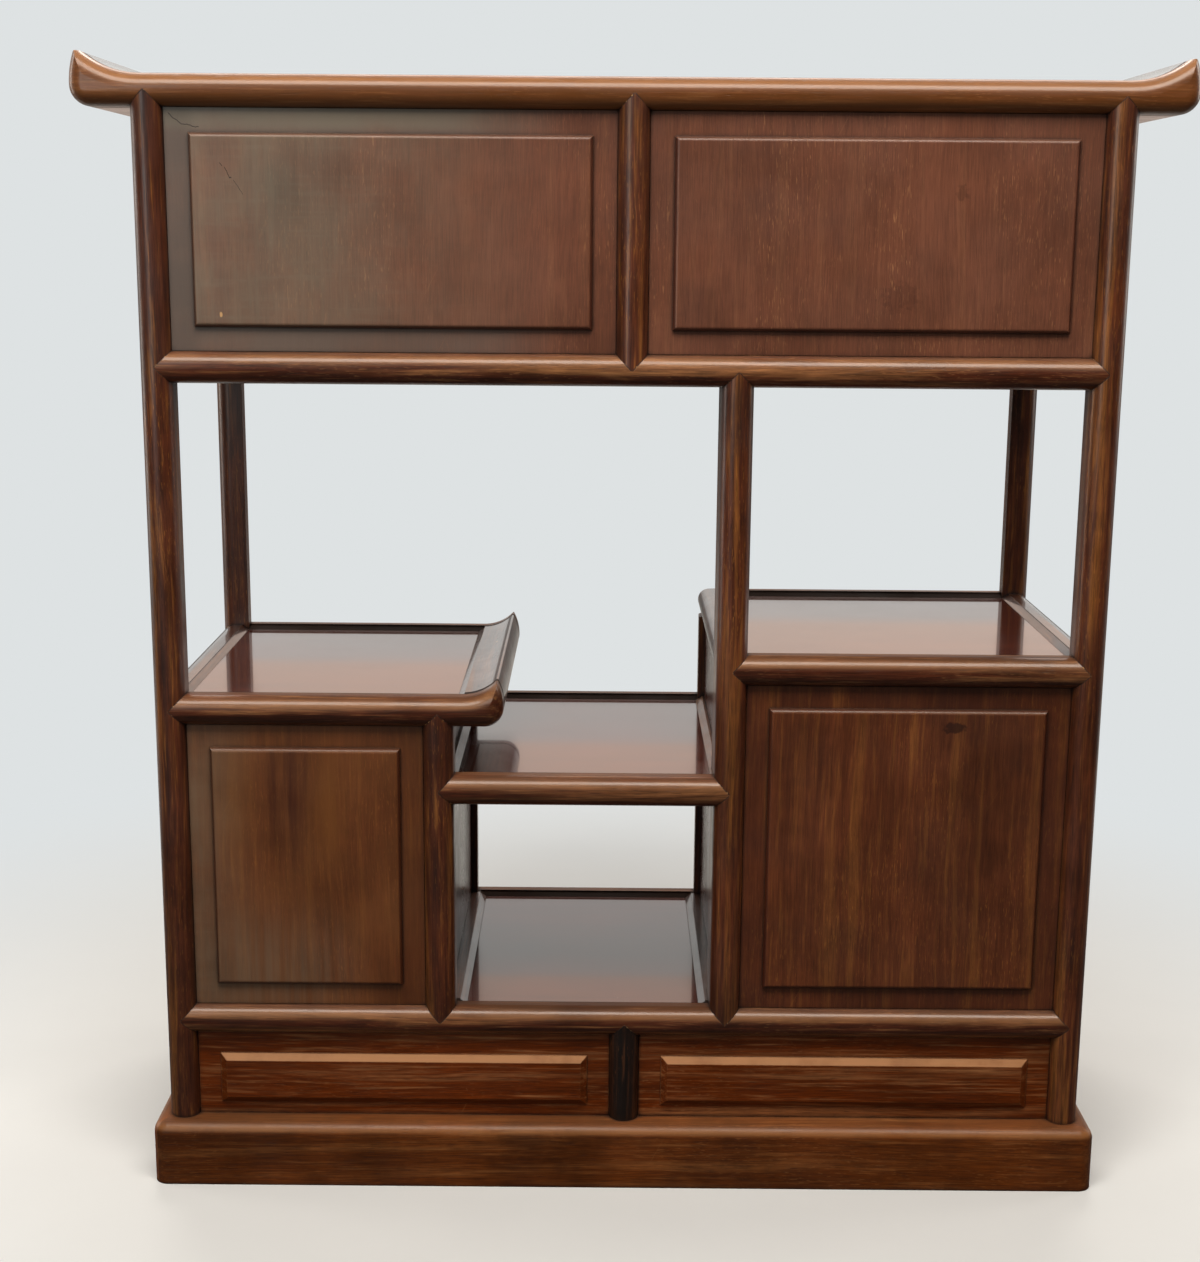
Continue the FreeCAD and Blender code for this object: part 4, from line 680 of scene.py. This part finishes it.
def carry_ellipse(paths, beside, above, half_width, half_height, sides=8):
    """Closed strings along many paths at once: a flat ellipse carried along each.

    Spot = path + beside * half_width * cos t + above * half_height * sin t; the ellipse shrinks to a
    pole at both ends. Paths, beside and above are arrays of (strings, steps, 3); half_width and
    half_height are numbers, or arrays of (strings, 1, 1, 1).
    """
    strings, steps, _ = paths.shape
    t = np.linspace(0, 2 * np.pi, sides, endpoint=False)[:, None]
    ring = (
        paths[:, 1:-1, None] + beside[:, 1:-1, None] * (half_width * np.cos(t))
        + above[:, 1:-1, None] * (half_height * np.sin(t))
    )
    body = (steps - 2) * sides
    spots = np.concatenate([ring.reshape(strings, body, 3), paths[:, :1], paths[:, -1:]], axis=1)
    here = np.arange(body).reshape(steps - 2, sides)
    there = np.roll(here, -1, axis=1)
    quads = np.stack([here[:-1], there[:-1], there[1:], here[1:]], axis=-1).reshape(-1, 4)
    first = np.stack([np.full(sides, body), there[0], here[0]], axis=-1)
    last = np.stack([np.full(sides, body + 1), here[-1], there[-1]], axis=-1)
    first_spots = (np.arange(strings) * (body + 2))[:, None, None]
    quads = (quads[None] + first_spots).reshape(-1, 4)
    ends = (np.concatenate([first, last])[None] + first_spots).reshape(-1, 3)
    return spots.reshape(-1, 3), quads.tolist() + ends.tolist()


def outward_faces(piece):
    """Turn a closed piece's faces outwards."""
    shell = bmesh.new()
    shell.from_mesh(piece.data)
    bmesh.ops.recalc_face_normals(shell, faces=shell.faces)
    shell.to_mesh(piece.data)
    shell.free()


def rail_height(name):
    """Height of a rail's axis."""
    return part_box(name)[0].z + HALF


def post_middle(name):
    """Place of a post's axis along X."""
    low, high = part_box(name)
    return (low.x + high.x) / 2


def beak_joints():
    """Tips of the pointed joints with the way they point and the way out of the cabinet."""
    x, y, z = (Vector(axis) for axis in ((1, 0, 0), (0, 1, 0), (0, 0, 1)))
    left, right = post_middle("post_back_left"), post_middle("post_back_right")
    inner, centre = post_middle("post_back_inner"), post_middle("post_back_centre")
    middle = post_middle("muntin_upper_back")
    base, upper, top = (rail_height(f"{level}_rail_back") for level in ("base", "upper", "top"))
    low_shelf, high_shelf = rail_height("left_shelf_rail_back"), rail_height("right_shelf_rail_back")
    middle_shelf = rail_height("middle_shelf_frame")
    both = [
        (left, base, -x), (right, base, x), (inner, middle_shelf, -x), (centre, middle_shelf, x),
        (left, upper, -x), (right, upper, x), (left, low_shelf, -x), (right, high_shelf, x),
        (left, top, z), (right, top, z), (inner, base, -z), (inner, low_shelf, z),
        (centre, base, -z), (middle, base, z),
    ]
    back_only = [(centre, high_shelf, -x), (centre, upper, z), (middle, upper, -z), (middle, top, z)]
    depth = RIDGE_LOW.y + HALF
    joints = [(Vector((at, depth, height)), toward, -y) for at, height, toward in both + back_only]
    joints += [(Vector((at, -depth, height)), toward, y) for at, height, toward in both]
    sides = [(left, base), (right, base), (left, upper), (right, upper)]
    for at, height in sides + [(left, low_shelf), (right, high_shelf)]:
        outward = x * math.copysign(1, at)
        joints += [(Vector((at, math.copysign(depth, side), height)), y * side, outward) for side in (-1, 1)]
    return joints


def along_shelf_frame(tree):
    """Grain along X on the rails, and along Y on the cleats between them."""
    depth = tree.math("ABSOLUTE", tree.parts(tree.object_spot())["Y"])
    inside = tree.math("LESS_THAN", depth, POST_INSIDE)
    return tree.choose(inside, grain_along(tree, "X"), grain_along(tree, "Y"))


def round_plinth(tree):
    """Grain along each of the plinth's rails, changing at the mitres."""
    parts = tree.parts(tree.object_spot())
    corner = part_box("plinth_frame")[1]
    out_x = tree.math("SUBTRACT", tree.math("ABSOLUTE", parts["X"]), corner.x)
    out_y = tree.math("SUBTRACT", tree.math("ABSOLUTE", parts["Y"]), corner.y)
    side = tree.math("GREATER_THAN", out_x, out_y)
    return tree.choose(side, grain_along(tree, "X"), grain_along(tree, "Y"))


def up_the_sides(tree):
    """Grain upright on the tall side panels, and level on the low ones under the base rail."""
    height = tree.parts(tree.object_spot())["Z"]
    low = tree.math("LESS_THAN", height, RIDGE_LOW.z + HALF)
    return tree.choose(low, grain_along(tree, "Z"), grain_along(tree, "Y"))


class CABINET_OT_frame(bpy.types.Operator):
    """Finish the posts and rails"""

    bl_idname = "cabinet.finish_frame"
    bl_label = "Finish posts and rails"

    def execute(self, context):
        rails = [f"{level}_{end}" for end in ("back", "front") for level in (
            "base_rail", "left_shelf_rail", "right_shelf_rail", "upper_rail", "top_rail")]
        posts = [name for name in nodes if name.startswith("post_")] + ["muntin_upper_back"]
        cross = ["base_rails_side", "upper_rails_side"]
        middle = ["middle_shelf_frame"]
        beside_shelves = [
            "base_cross_rails", "left_shelf_rails_cross", "right_shelf_rails_side", "left_shelf_scroll",
            "top_scrolls",
        ]
        golden = [(over, (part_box("top_rail_back")[0].z,), "golden", 0.5)]
        nicks = [(one_spot, (spot, NICK_SIZE), "chip", 0.8) for spot in SCROLL_NICKS]
        finish_wood(context, rails, "rail_wood", "rail", "X", touches=golden, waxed=RECESS_SHADE_SHARE)
        finish_wood(context, posts, "post_wood", "post", "Z")
        finish_wood(context, cross, "cross_rail_wood", "rail", "Y")
        finish_wood(context, beside_shelves, "shelf_edge_wood", "side_rail", "Y", touches=nicks)
        finish_wood(context, middle, "middle_shelf_wood", "rail", along_shelf_frame, waxed=RECESS_SHADE_SHARE)
        finish_wood(context, ["muntins_base"], "muntin_wood", "muntin", "Z")
        return {"FINISHED"}


class CABINET_OT_panels(bpy.types.Operator):
    """Finish the raised panels, the doors and the drawer fronts"""

    bl_idname = "cabinet.finish_panels"
    bl_label = "Finish panels and doors"

    def execute(self, context):
        upper = ["back_panels_upper", "sliding_door_left", "sliding_door_right"]
        lower = ["back_panels_lower", "hinged_door_left", "hinged_door_right"]
        base = ["back_panels_base", "drawer_front_left", "drawer_front_right"]
        upper_marks = (
            # Grey haze growing to the left: painted sheen of the window on the polish, with bloom
            (cloudy_sheen_and_bloom, (-0.02, -0.33), "sheen_and_bloom", 0.5),
            (broad_patch, ((-0.305, FIELD_FACE, 0.9), (0.03, 0.02, 0.06)), "sheen_and_bloom", 0.25),
            (broad_patch, ((-0.283, FIELD_FACE, 0.885), (0.03, 0.02, 0.055)), "grime_and_shade", 0.3),
            (broad_patch, ((-0.245, FIELD_FACE, 0.895), (0.025, 0.02, 0.05)), "grime_and_shade", 0.24),
            # Borders: grey-brown painted sheen, a paler top border as painted light, darker towards the far
            # left
            (border, (-0.04, -0.14), "haze", 0.8),
            (border, (-0.04, -0.2, 0.925), "sheen_and_bloom", 0.42),
            (border, (-0.356, -0.372), "grime_and_shade", 0.22),
            # Painted shade on the rounded edges of the raised fields
            (field_edge_shade, (), "heart_and_shade", 0.7),
            (one_spot, ((-0.3432, FIELD_FACE, 0.7797), (0.0012, 0.004, 0.0025)), "chip", 0.9),
            (one_spot, ((-0.1882, FIELD_FACE, 0.950), (0.006, 0.01, 0.0025)), "grime_and_shade", 0.6),
            (one_spot, ((0.2708, FIELD_FACE, 0.8837), (0.006, 0.01, 0.008)), "knot", 0.3),
            (one_spot, ((0.2224, FIELD_FACE, 0.799), (0.019, 0.01, 0.014)), "knot", 0.22),
        )
        lower_marks = (
            (left_board, (post_middle("post_back_inner"),), "golden", 0.45),
            (broad_patch, ((-0.297, FIELD_FACE, 0.37), (0.04, 0.02, 0.11)), "heart_and_shade", 0.75),
            (broad_patch, ((-0.264, FIELD_FACE, 0.35), (0.026, 0.02, 0.085)), "golden", 0.6),
            (broad_patch, ((-0.345, FIELD_FACE, 0.36), (0.03, 0.02, 0.08)), "golden", 0.5),
            # Grey haze at the left: painted sheen of the window on the polish, with bloom
            (broad_patch, ((-0.31, FIELD_FACE, 0.2), (0.1, 0.02, 0.085)), "sheen_and_bloom", 0.3),
            (cloudy_sheen_and_bloom, (-0.31, -0.40), "sheen_and_bloom", 0.42),
            # Borders darker and redder right of x = -0.2; painted shade on the rounded edges of the fields
            (border, (-0.26, -0.2), "heart_and_shade", 0.35),
            (field_edge_shade, (), "heart_and_shade", 0.7),
            (one_spot, ((0.2854, FIELD_FACE, 0.4292), (0.011, 0.01, 0.007)), "knot", 0.75),
        )
        finish_wood(context, upper, "upper_panel_wood", "upper", "Z", touches=upper_marks)
        finish_wood(context, lower, "lower_panel_wood", "lower", "Z", touches=lower_marks)
        finish_wood(context, base, "base_panel_wood", "base", "X")
        finish_wood(context, ["side_panels"], "side_panel_wood", "lower", up_the_sides)
        return {"FINISHED"}


class CABINET_OT_shelves(bpy.types.Operator):
    """Finish the polished shelves, the walls of the open bay and the top"""

    bl_idname = "cabinet.finish_shelves"
    bl_label = "Finish shelves"

    def execute(self, context):
        shelves = [f"{name}_panel" for name in ("left_shelf", "middle_shelf", "right_shelf", "top")]
        shelves.append("base_floor_panels")
        dust = [(dust_specks, (), "dust", 0.7)]
        finish_wood(context, shelves, "shelf_wood", "shelf", "X", relief=POLISHED_RELIEF, touches=dust)
        finish_wood(context, ["bay_walls"], "bay_wall_wood", "wall", "Z", relief=POLISHED_RELIEF)
        return {"FINISHED"}


class CABINET_OT_plinth(bpy.types.Operator):
    """Finish the plinth"""

    bl_idname = "cabinet.finish_plinth"
    bl_label = "Finish plinth"

    def execute(self, context):
        finish_wood(context, ["plinth_frame"], "plinth_wood", "plinth", round_plinth)
        return {"FINISHED"}


class CABINET_OT_linings(bpy.types.Operator):
    """Finish the unpolished insides"""

    bl_idname = "cabinet.finish_linings"
    bl_label = "Finish linings"

    def execute(self, context):
        along = ["plinth_deck", "upper_floor_panel", "drawer_bottom_left", "drawer_bottom_right"]
        deep = ["drawer_box_left", "drawer_box_right", "drawer_guides"]
        finish_wood(context, along, "lining_wood", "lining", "X")
        finish_wood(context, deep, "drawer_side_wood", "lining", "Y")
        return {"FINISHED"}


class CABINET_OT_brass(bpy.types.Operator):
    """Finish the pulls, knobs and door pins"""

    bl_idname = "cabinet.finish_brass"
    bl_label = "Finish brass"

    def execute(self, context):
        details = context.scene.cabinet_details
        material, tree = new_material("aged_brass")
        spot = tree.object_spot()
        wear, grime_and_shade, marks = surface_effects(tree, spot, details)
        stain = tree.noise(spot, (160.0, 160.0, 160.0), 6.0, 0.65)
        stain = tree.math("SUBTRACT", tree.ramp(stain, 0.4, 0.66), wear["Mask"], clamp=True)
        shade = tree.mix(stain, details.brass, details.tarnish)
        # Grime and painted shade in the hollows of the brass
        shade = tree.mix(grime_and_shade["Mask"], shade, details.grime_and_shade)
        dull = tree.ramp(stain, 0.0, 1.0, 0.26, 0.5)
        raised = tree.add("ShaderNodeBump", {
            "Strength": 0.3, "Distance": 0.0001, "Height": marks["Smears"], "Normal": wear["Normal"]
        })
        shader = tree.add("ShaderNodeBsdfPrincipled", {
            "Base Color": shade, "Roughness": dull, "Metallic": 1.0, "Normal": raised.outputs[0]
        })
        tree.surface(shader)
        fittings = [name for name in nodes if "knob" in name or "pull" in name] + ["door_pins"]
        dress(fittings, material)
        return {"FINISHED"}


def wax_material(name, shade, rubbed):
    """Dull dark wax, a little uneven, rubbed through here and there."""
    material, tree = new_material(name)
    lumps = tree.noise(tree.object_spot(), (260.0, 260.0, 260.0), 4.0)
    uneven = tree.mix(tree.ramp(lumps, 0.35, 0.7), shade, tuple(part * 2.4 for part in shade))
    uneven = tree.mix(tree.ramp(lumps, 0.6, 0.68), uneven, rubbed)
    raised = tree.add("ShaderNodeBump", {"Strength": 0.4, "Distance": 0.0002, "Height": lumps})
    shader = tree.add("ShaderNodeBsdfPrincipled", {
        "Base Color": uneven, "Roughness": tree.ramp(lumps, 0.3, 0.7, 0.5, 0.75), "Normal": raised.outputs[0]
    })
    tree.surface(shader)
    return material


class CABINET_OT_joints(bpy.types.Operator):
    """Draw the dark lines of wax in the pointed joints"""

    bl_idname = "cabinet.draw_joints"
    bl_label = "Draw joint lines"

    def execute(self, context):
        details = context.scene.cabinet_details
        tips, ways, outs = (np.array(part) for part in zip(*beak_joints()))
        across = np.cross(ways, outs)
        arms = np.concatenate([across - ways, -across - ways])
        beside = np.concatenate([across + ways, ways - across]) / math.sqrt(2)
        tips, outs = np.tile(tips, (2, 1)), np.tile(outs, (2, 1))
        turn = np.linspace(0, JOINT_TURN, JOINT_STEPS)[None, :, None]
        flat, out = arms[:, None] * np.sin(turn), outs[:, None] * np.cos(turn)
        paths = tips[:, None] + HALF * (flat + out)
        run = arms[:, None] * np.cos(turn) - outs[:, None] * np.sin(turn)
        run /= np.linalg.norm(run, axis=-1, keepdims=True)
        beside = np.repeat(beside[:, None], JOINT_STEPS, axis=1)
        above = np.cross(beside, run)
        spots, faces = carry_ellipse(paths, beside, above, details.joint_line, details.joint_line / 3)
        wax = wax_material("joint_wax", details.grime_and_shade, details.chip)
        lines = new_piece("joint_lines", spots, faces, wax, smooth=True)
        outward_faces(lines)
        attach(lines, CARCASS)
        return {"FINISHED"}


class CABINET_OT_cracks(bpy.types.Operator):
    """Draw the hairline crack and the long scratch of the upper left panel"""

    bl_idname = "cabinet.draw_cracks"
    bl_label = "Draw cracks"

    def execute(self, context):
        details = context.scene.cabinet_details
        paths = self.wavering_paths()
        run = np.gradient(paths, axis=1)
        run /= np.linalg.norm(run, axis=-1, keepdims=True)
        above = np.broadcast_to(np.array((0.0, -1.0, 0.0)), paths.shape)
        beside = np.cross(run, above)
        widths = details.crack_width * np.array([width for *_, width in PANEL_CRACKS])[:, None, None, None]
        spots, faces = carry_ellipse(paths, beside, above, widths, widths / 4)
        wax = wax_material("crack_wax", details.grime_and_shade, details.grime_and_shade)
        cracks = new_piece("panel_cracks", spots, faces, wax, smooth=True)
        outward_faces(cracks)
        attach(cracks, CARCASS)
        return {"FINISHED"}

    def wavering_paths(self):
        """Points along the straight runs between the corners of each mark, with a small waver in height."""
        paths = []
        for corners, depth, _ in PANEL_CRACKS:
            steps = np.linspace(0, len(corners) - 1, CRACK_STEPS)
            at, up = (np.interp(steps, np.arange(len(corners)), part) for part in np.array(corners).T)
            up = up + sum(reach * np.sin(waves * steps) for reach, waves in CRACK_WAVERS)
            paths.append(np.stack([at, np.full_like(at, FIELD_FACE + depth), up], axis=-1))
        return np.stack(paths)


def add_lamp(context, name, size, spot, target, power, shade):
    """Rectangular lamp at a spot, turned to a target."""
    lamp = bpy.data.lights.new(name, "AREA")
    lamp.shape = "RECTANGLE"
    lamp.size, lamp.size_y = size
    lamp.energy = power
    lamp.color = shade
    holder = bpy.data.objects.new(name, lamp)
    holder.location = spot
    holder.rotation_euler = (Vector(target) - Vector(spot)).to_track_quat("-Z", "Y").to_euler()
    holder.visible_camera = False
    context.scene.collection.objects.link(holder)


def stage_disc(name, radius, height, material):
    """Level disc: x = r cos t, y = r sin t, on rings whose radii grow as a square."""
    rings, turns = 40, 96
    r = radius * np.linspace(0, 1, rings)[1:, None] ** 2
    t = np.linspace(0, 2 * np.pi, turns, endpoint=False)[None]
    spots = np.stack([r * np.cos(t), r * np.sin(t), np.full((rings - 1, turns), height)], axis=-1)
    spots = np.vstack([[[0, 0, height]], spots.reshape(-1, 3)])
    here = 1 + np.arange((rings - 1) * turns).reshape(rings - 1, turns)
    there = np.roll(here, -1, axis=1)
    quads = np.stack([here[:-1], here[1:], there[1:], there[:-1]], axis=-1).reshape(-1, 4)
    centre = np.stack([np.zeros(turns, int), here[0], there[0]], axis=-1)
    disc = new_piece(name, spots, centre.tolist() + quads.tolist(), material)


class CABINET_OT_stage(bpy.types.Operator):
    """Set up the camera, the lamps, the floor and the backdrop"""

    bl_idname = "cabinet.set_stage"
    bl_label = "Set the stage"

    def execute(self, context):
        scene = context.scene
        stage = scene.cabinet_stage
        scene.view_settings.view_transform = "Standard"
        self.camera(context, stage)
        self.world(scene, stage)
        self.floor(stage)
        self.card(stage)
        for name, setting, size, spot, target, shade in LAMPS:
            add_lamp(context, name, size, spot, target, getattr(stage, setting), shade)
        return {"FINISHED"}

    def camera(self, context, stage):
        """Camera from its pitch, yaw and roll."""
        forward = Vector((math.sin(stage.yaw), math.cos(stage.yaw), 0))
        right = Vector((math.cos(stage.yaw), -math.sin(stage.yaw), 0))
        up = Vector((0, 0, 1))
        ahead = forward * math.cos(stage.pitch) - up * math.sin(stage.pitch)
        above = up * math.cos(stage.pitch) + forward * math.sin(stage.pitch)
        beside = right * math.cos(stage.roll) + above * math.sin(stage.roll)
        above = above * math.cos(stage.roll) - right * math.sin(stage.roll)
        camera = bpy.data.cameras.new("camera")
        camera.lens = stage.lens
        holder = bpy.data.objects.new("camera", camera)
        turned = Matrix((beside, above, -ahead)).transposed().to_4x4()
        holder.matrix_world = Matrix.Translation(stage.camera) @ turned
        context.scene.collection.objects.link(holder)
        context.scene.camera = holder

    def world(self, scene, stage):
        """Pale all round for the camera; reflections and light come mostly from behind the cabinet."""
        world = bpy.data.worlds.new("studio")
        world.use_nodes = True
        world.node_tree.nodes.clear()
        scene.world = world
        tree = Tree(world.node_tree)
        way = tree.add("ShaderNodeTexCoord").outputs["Generated"]
        depth = tree.parts(way)["Y"]
        path = tree.add("ShaderNodeLightPath").outputs
        mirrored = tree.math("MAXIMUM", path["Is Glossy Ray"], path["Is Transmission Ray"])
        behind = tree.ramp(depth, -0.1, 0.35, 0.12, 1.0)
        strength = tree.math("MAXIMUM", path["Is Camera Ray"], tree.times(mirrored, behind))
        shade = tree.mix(path["Is Camera Ray"], stage.mirrored, stage.backdrop)
        seen = tree.add("ShaderNodeBackground", {"Color": shade, "Strength": strength})
        light = tree.add("ShaderNodeBackground", {"Color": (1, 1, 1, 1), "Strength": stage.ambient})
        shown = tree.math("MAXIMUM", path["Is Camera Ray"], mirrored)
        both = tree.add("ShaderNodeMixShader", {0: shown, 1: light.outputs[0], 2: seen.outputs[0]})
        tree.add("ShaderNodeOutputWorld", {"Surface": both.outputs[0]})

    def card(self, stage):
        """Upright card behind the cabinet that shows only in reflections: x and z run over a plain grid."""
        material, tree = new_material("warm_card")
        height = tree.parts(tree.object_spot())["Z"]
        shade = tree.mix(tree.ramp(height, CARD_FOOT, CARD_FOOT + CARD_FADE), stage.mirrored, stage.card)
        glow = tree.add("ShaderNodeEmission", {"Color": shade, "Strength": 1.0})
        tree.surface(glow)
        level = np.linspace(-CARD_REACH, CARD_REACH, 9)
        across, up = np.meshgrid(level, np.linspace(CARD_FOOT, CARD_HEAD, 5))
        spots = np.stack([across, np.full_like(across, CARD_PLACE), up], axis=-1)
        card = new_piece("warm_card", spots.reshape(-1, 3), grid_quads(*across.shape), material)
        card.visible_camera = False
        card.visible_diffuse = False
        card.visible_shadow = False

    def floor(self, stage):
        """Pale floor that keeps the shadow and fades into the backdrop."""
        material, tree = new_material("pale_floor")
        path = tree.add("ShaderNodeLightPath").outputs
        spot = tree.object_spot()
        away = tree.length(spot)
        mottle = tree.noise(spot, (9.0, 9.0, 9.0), 4.0, 0.6)
        mottled, bounced, near = ((grey, grey, grey) for grey in (0.6, 0.12, 0.05))
        pale = tree.mix(tree.ramp(mottle, 0.3, 0.7, 0.0, 0.06), stage.floor, mottled)
        shade = tree.mix(path["Is Camera Ray"], bounced, pale)
        depth = tree.parts(spot)["Y"]
        reflected = tree.mix(tree.ramp(depth, 0.2, 0.6), near, stage.mirrored)
        shade = tree.mix(path["Is Glossy Ray"], shade, reflected)
        plain = tree.add("ShaderNodeBsdfPrincipled", {
            "Base Color": shade, "Roughness": 0.7, "Specular IOR Level": 0.1
        })
        glow = tree.add("ShaderNodeEmission", {"Color": stage.backdrop, "Strength": 1.0})
        far = tree.times(tree.ramp(away, 0.45, 1.3), path["Is Camera Ray"])
        both = tree.add("ShaderNodeMixShader", {0: far, 1: plain.outputs[0], 2: glow.outputs[0]})
        tree.surface(both)
        stage_disc("floor", FLOOR_RADIUS, -FLOOR_DROP, material)


STEPS = (
    CABINET_OT_frame, CABINET_OT_panels, CABINET_OT_shelves, CABINET_OT_plinth, CABINET_OT_linings,
    CABINET_OT_brass, CABINET_OT_joints, CABINET_OT_cracks, CABINET_OT_stage,
)
SETTINGS = {f"cabinet_{name}_wood": wood_group(name, *looks) for name, looks in WOODS.items()}
SETTINGS |= {"cabinet_details": CabinetDetails, "cabinet_stage": CabinetStage}


class CABINET_PT_panel(bpy.types.Panel):
    """Sidebar panel with the cabinet's steps"""

    bl_label = "Display cabinet"
    bl_idname = "CABINET_PT_panel"
    bl_space_type = "VIEW_3D"
    bl_region_type = "UI"
    bl_category = "Cabinet"

    def draw(self, context):
        for step in STEPS:
            self.layout.operator(step.bl_idname)


def register():
    """Register the settings, the steps and the panel."""
    for group in SETTINGS.values():
        bpy.utils.register_class(group)
    for name, group in SETTINGS.items():
        setattr(bpy.types.Scene, name, bpy.props.PointerProperty(type=group))
    for step in STEPS:
        bpy.utils.register_class(step)
    bpy.utils.register_class(CABINET_PT_panel)


def unregister():
    """Take the panel, the steps and the settings away again."""
    bpy.utils.unregister_class(CABINET_PT_panel)
    for step in reversed(STEPS):
        bpy.utils.unregister_class(step)
    for name, group in reversed(SETTINGS.items()):
        delattr(bpy.types.Scene, name)
        bpy.utils.unregister_class(group)


def main():
    """Run every step and write the sizes of the solids and of the finished cabinet."""
    register()
    bpy.ops.cabinet.finish_frame()
    bpy.ops.cabinet.finish_panels()
    bpy.ops.cabinet.finish_shelves()
    bpy.ops.cabinet.finish_plinth()
    bpy.ops.cabinet.finish_linings()
    bpy.ops.cabinet.finish_brass()
    bpy.ops.cabinet.draw_joints()
    bpy.ops.cabinet.draw_cracks()
    bpy.ops.cabinet.set_stage()


if __name__ == "__main__":
    main()
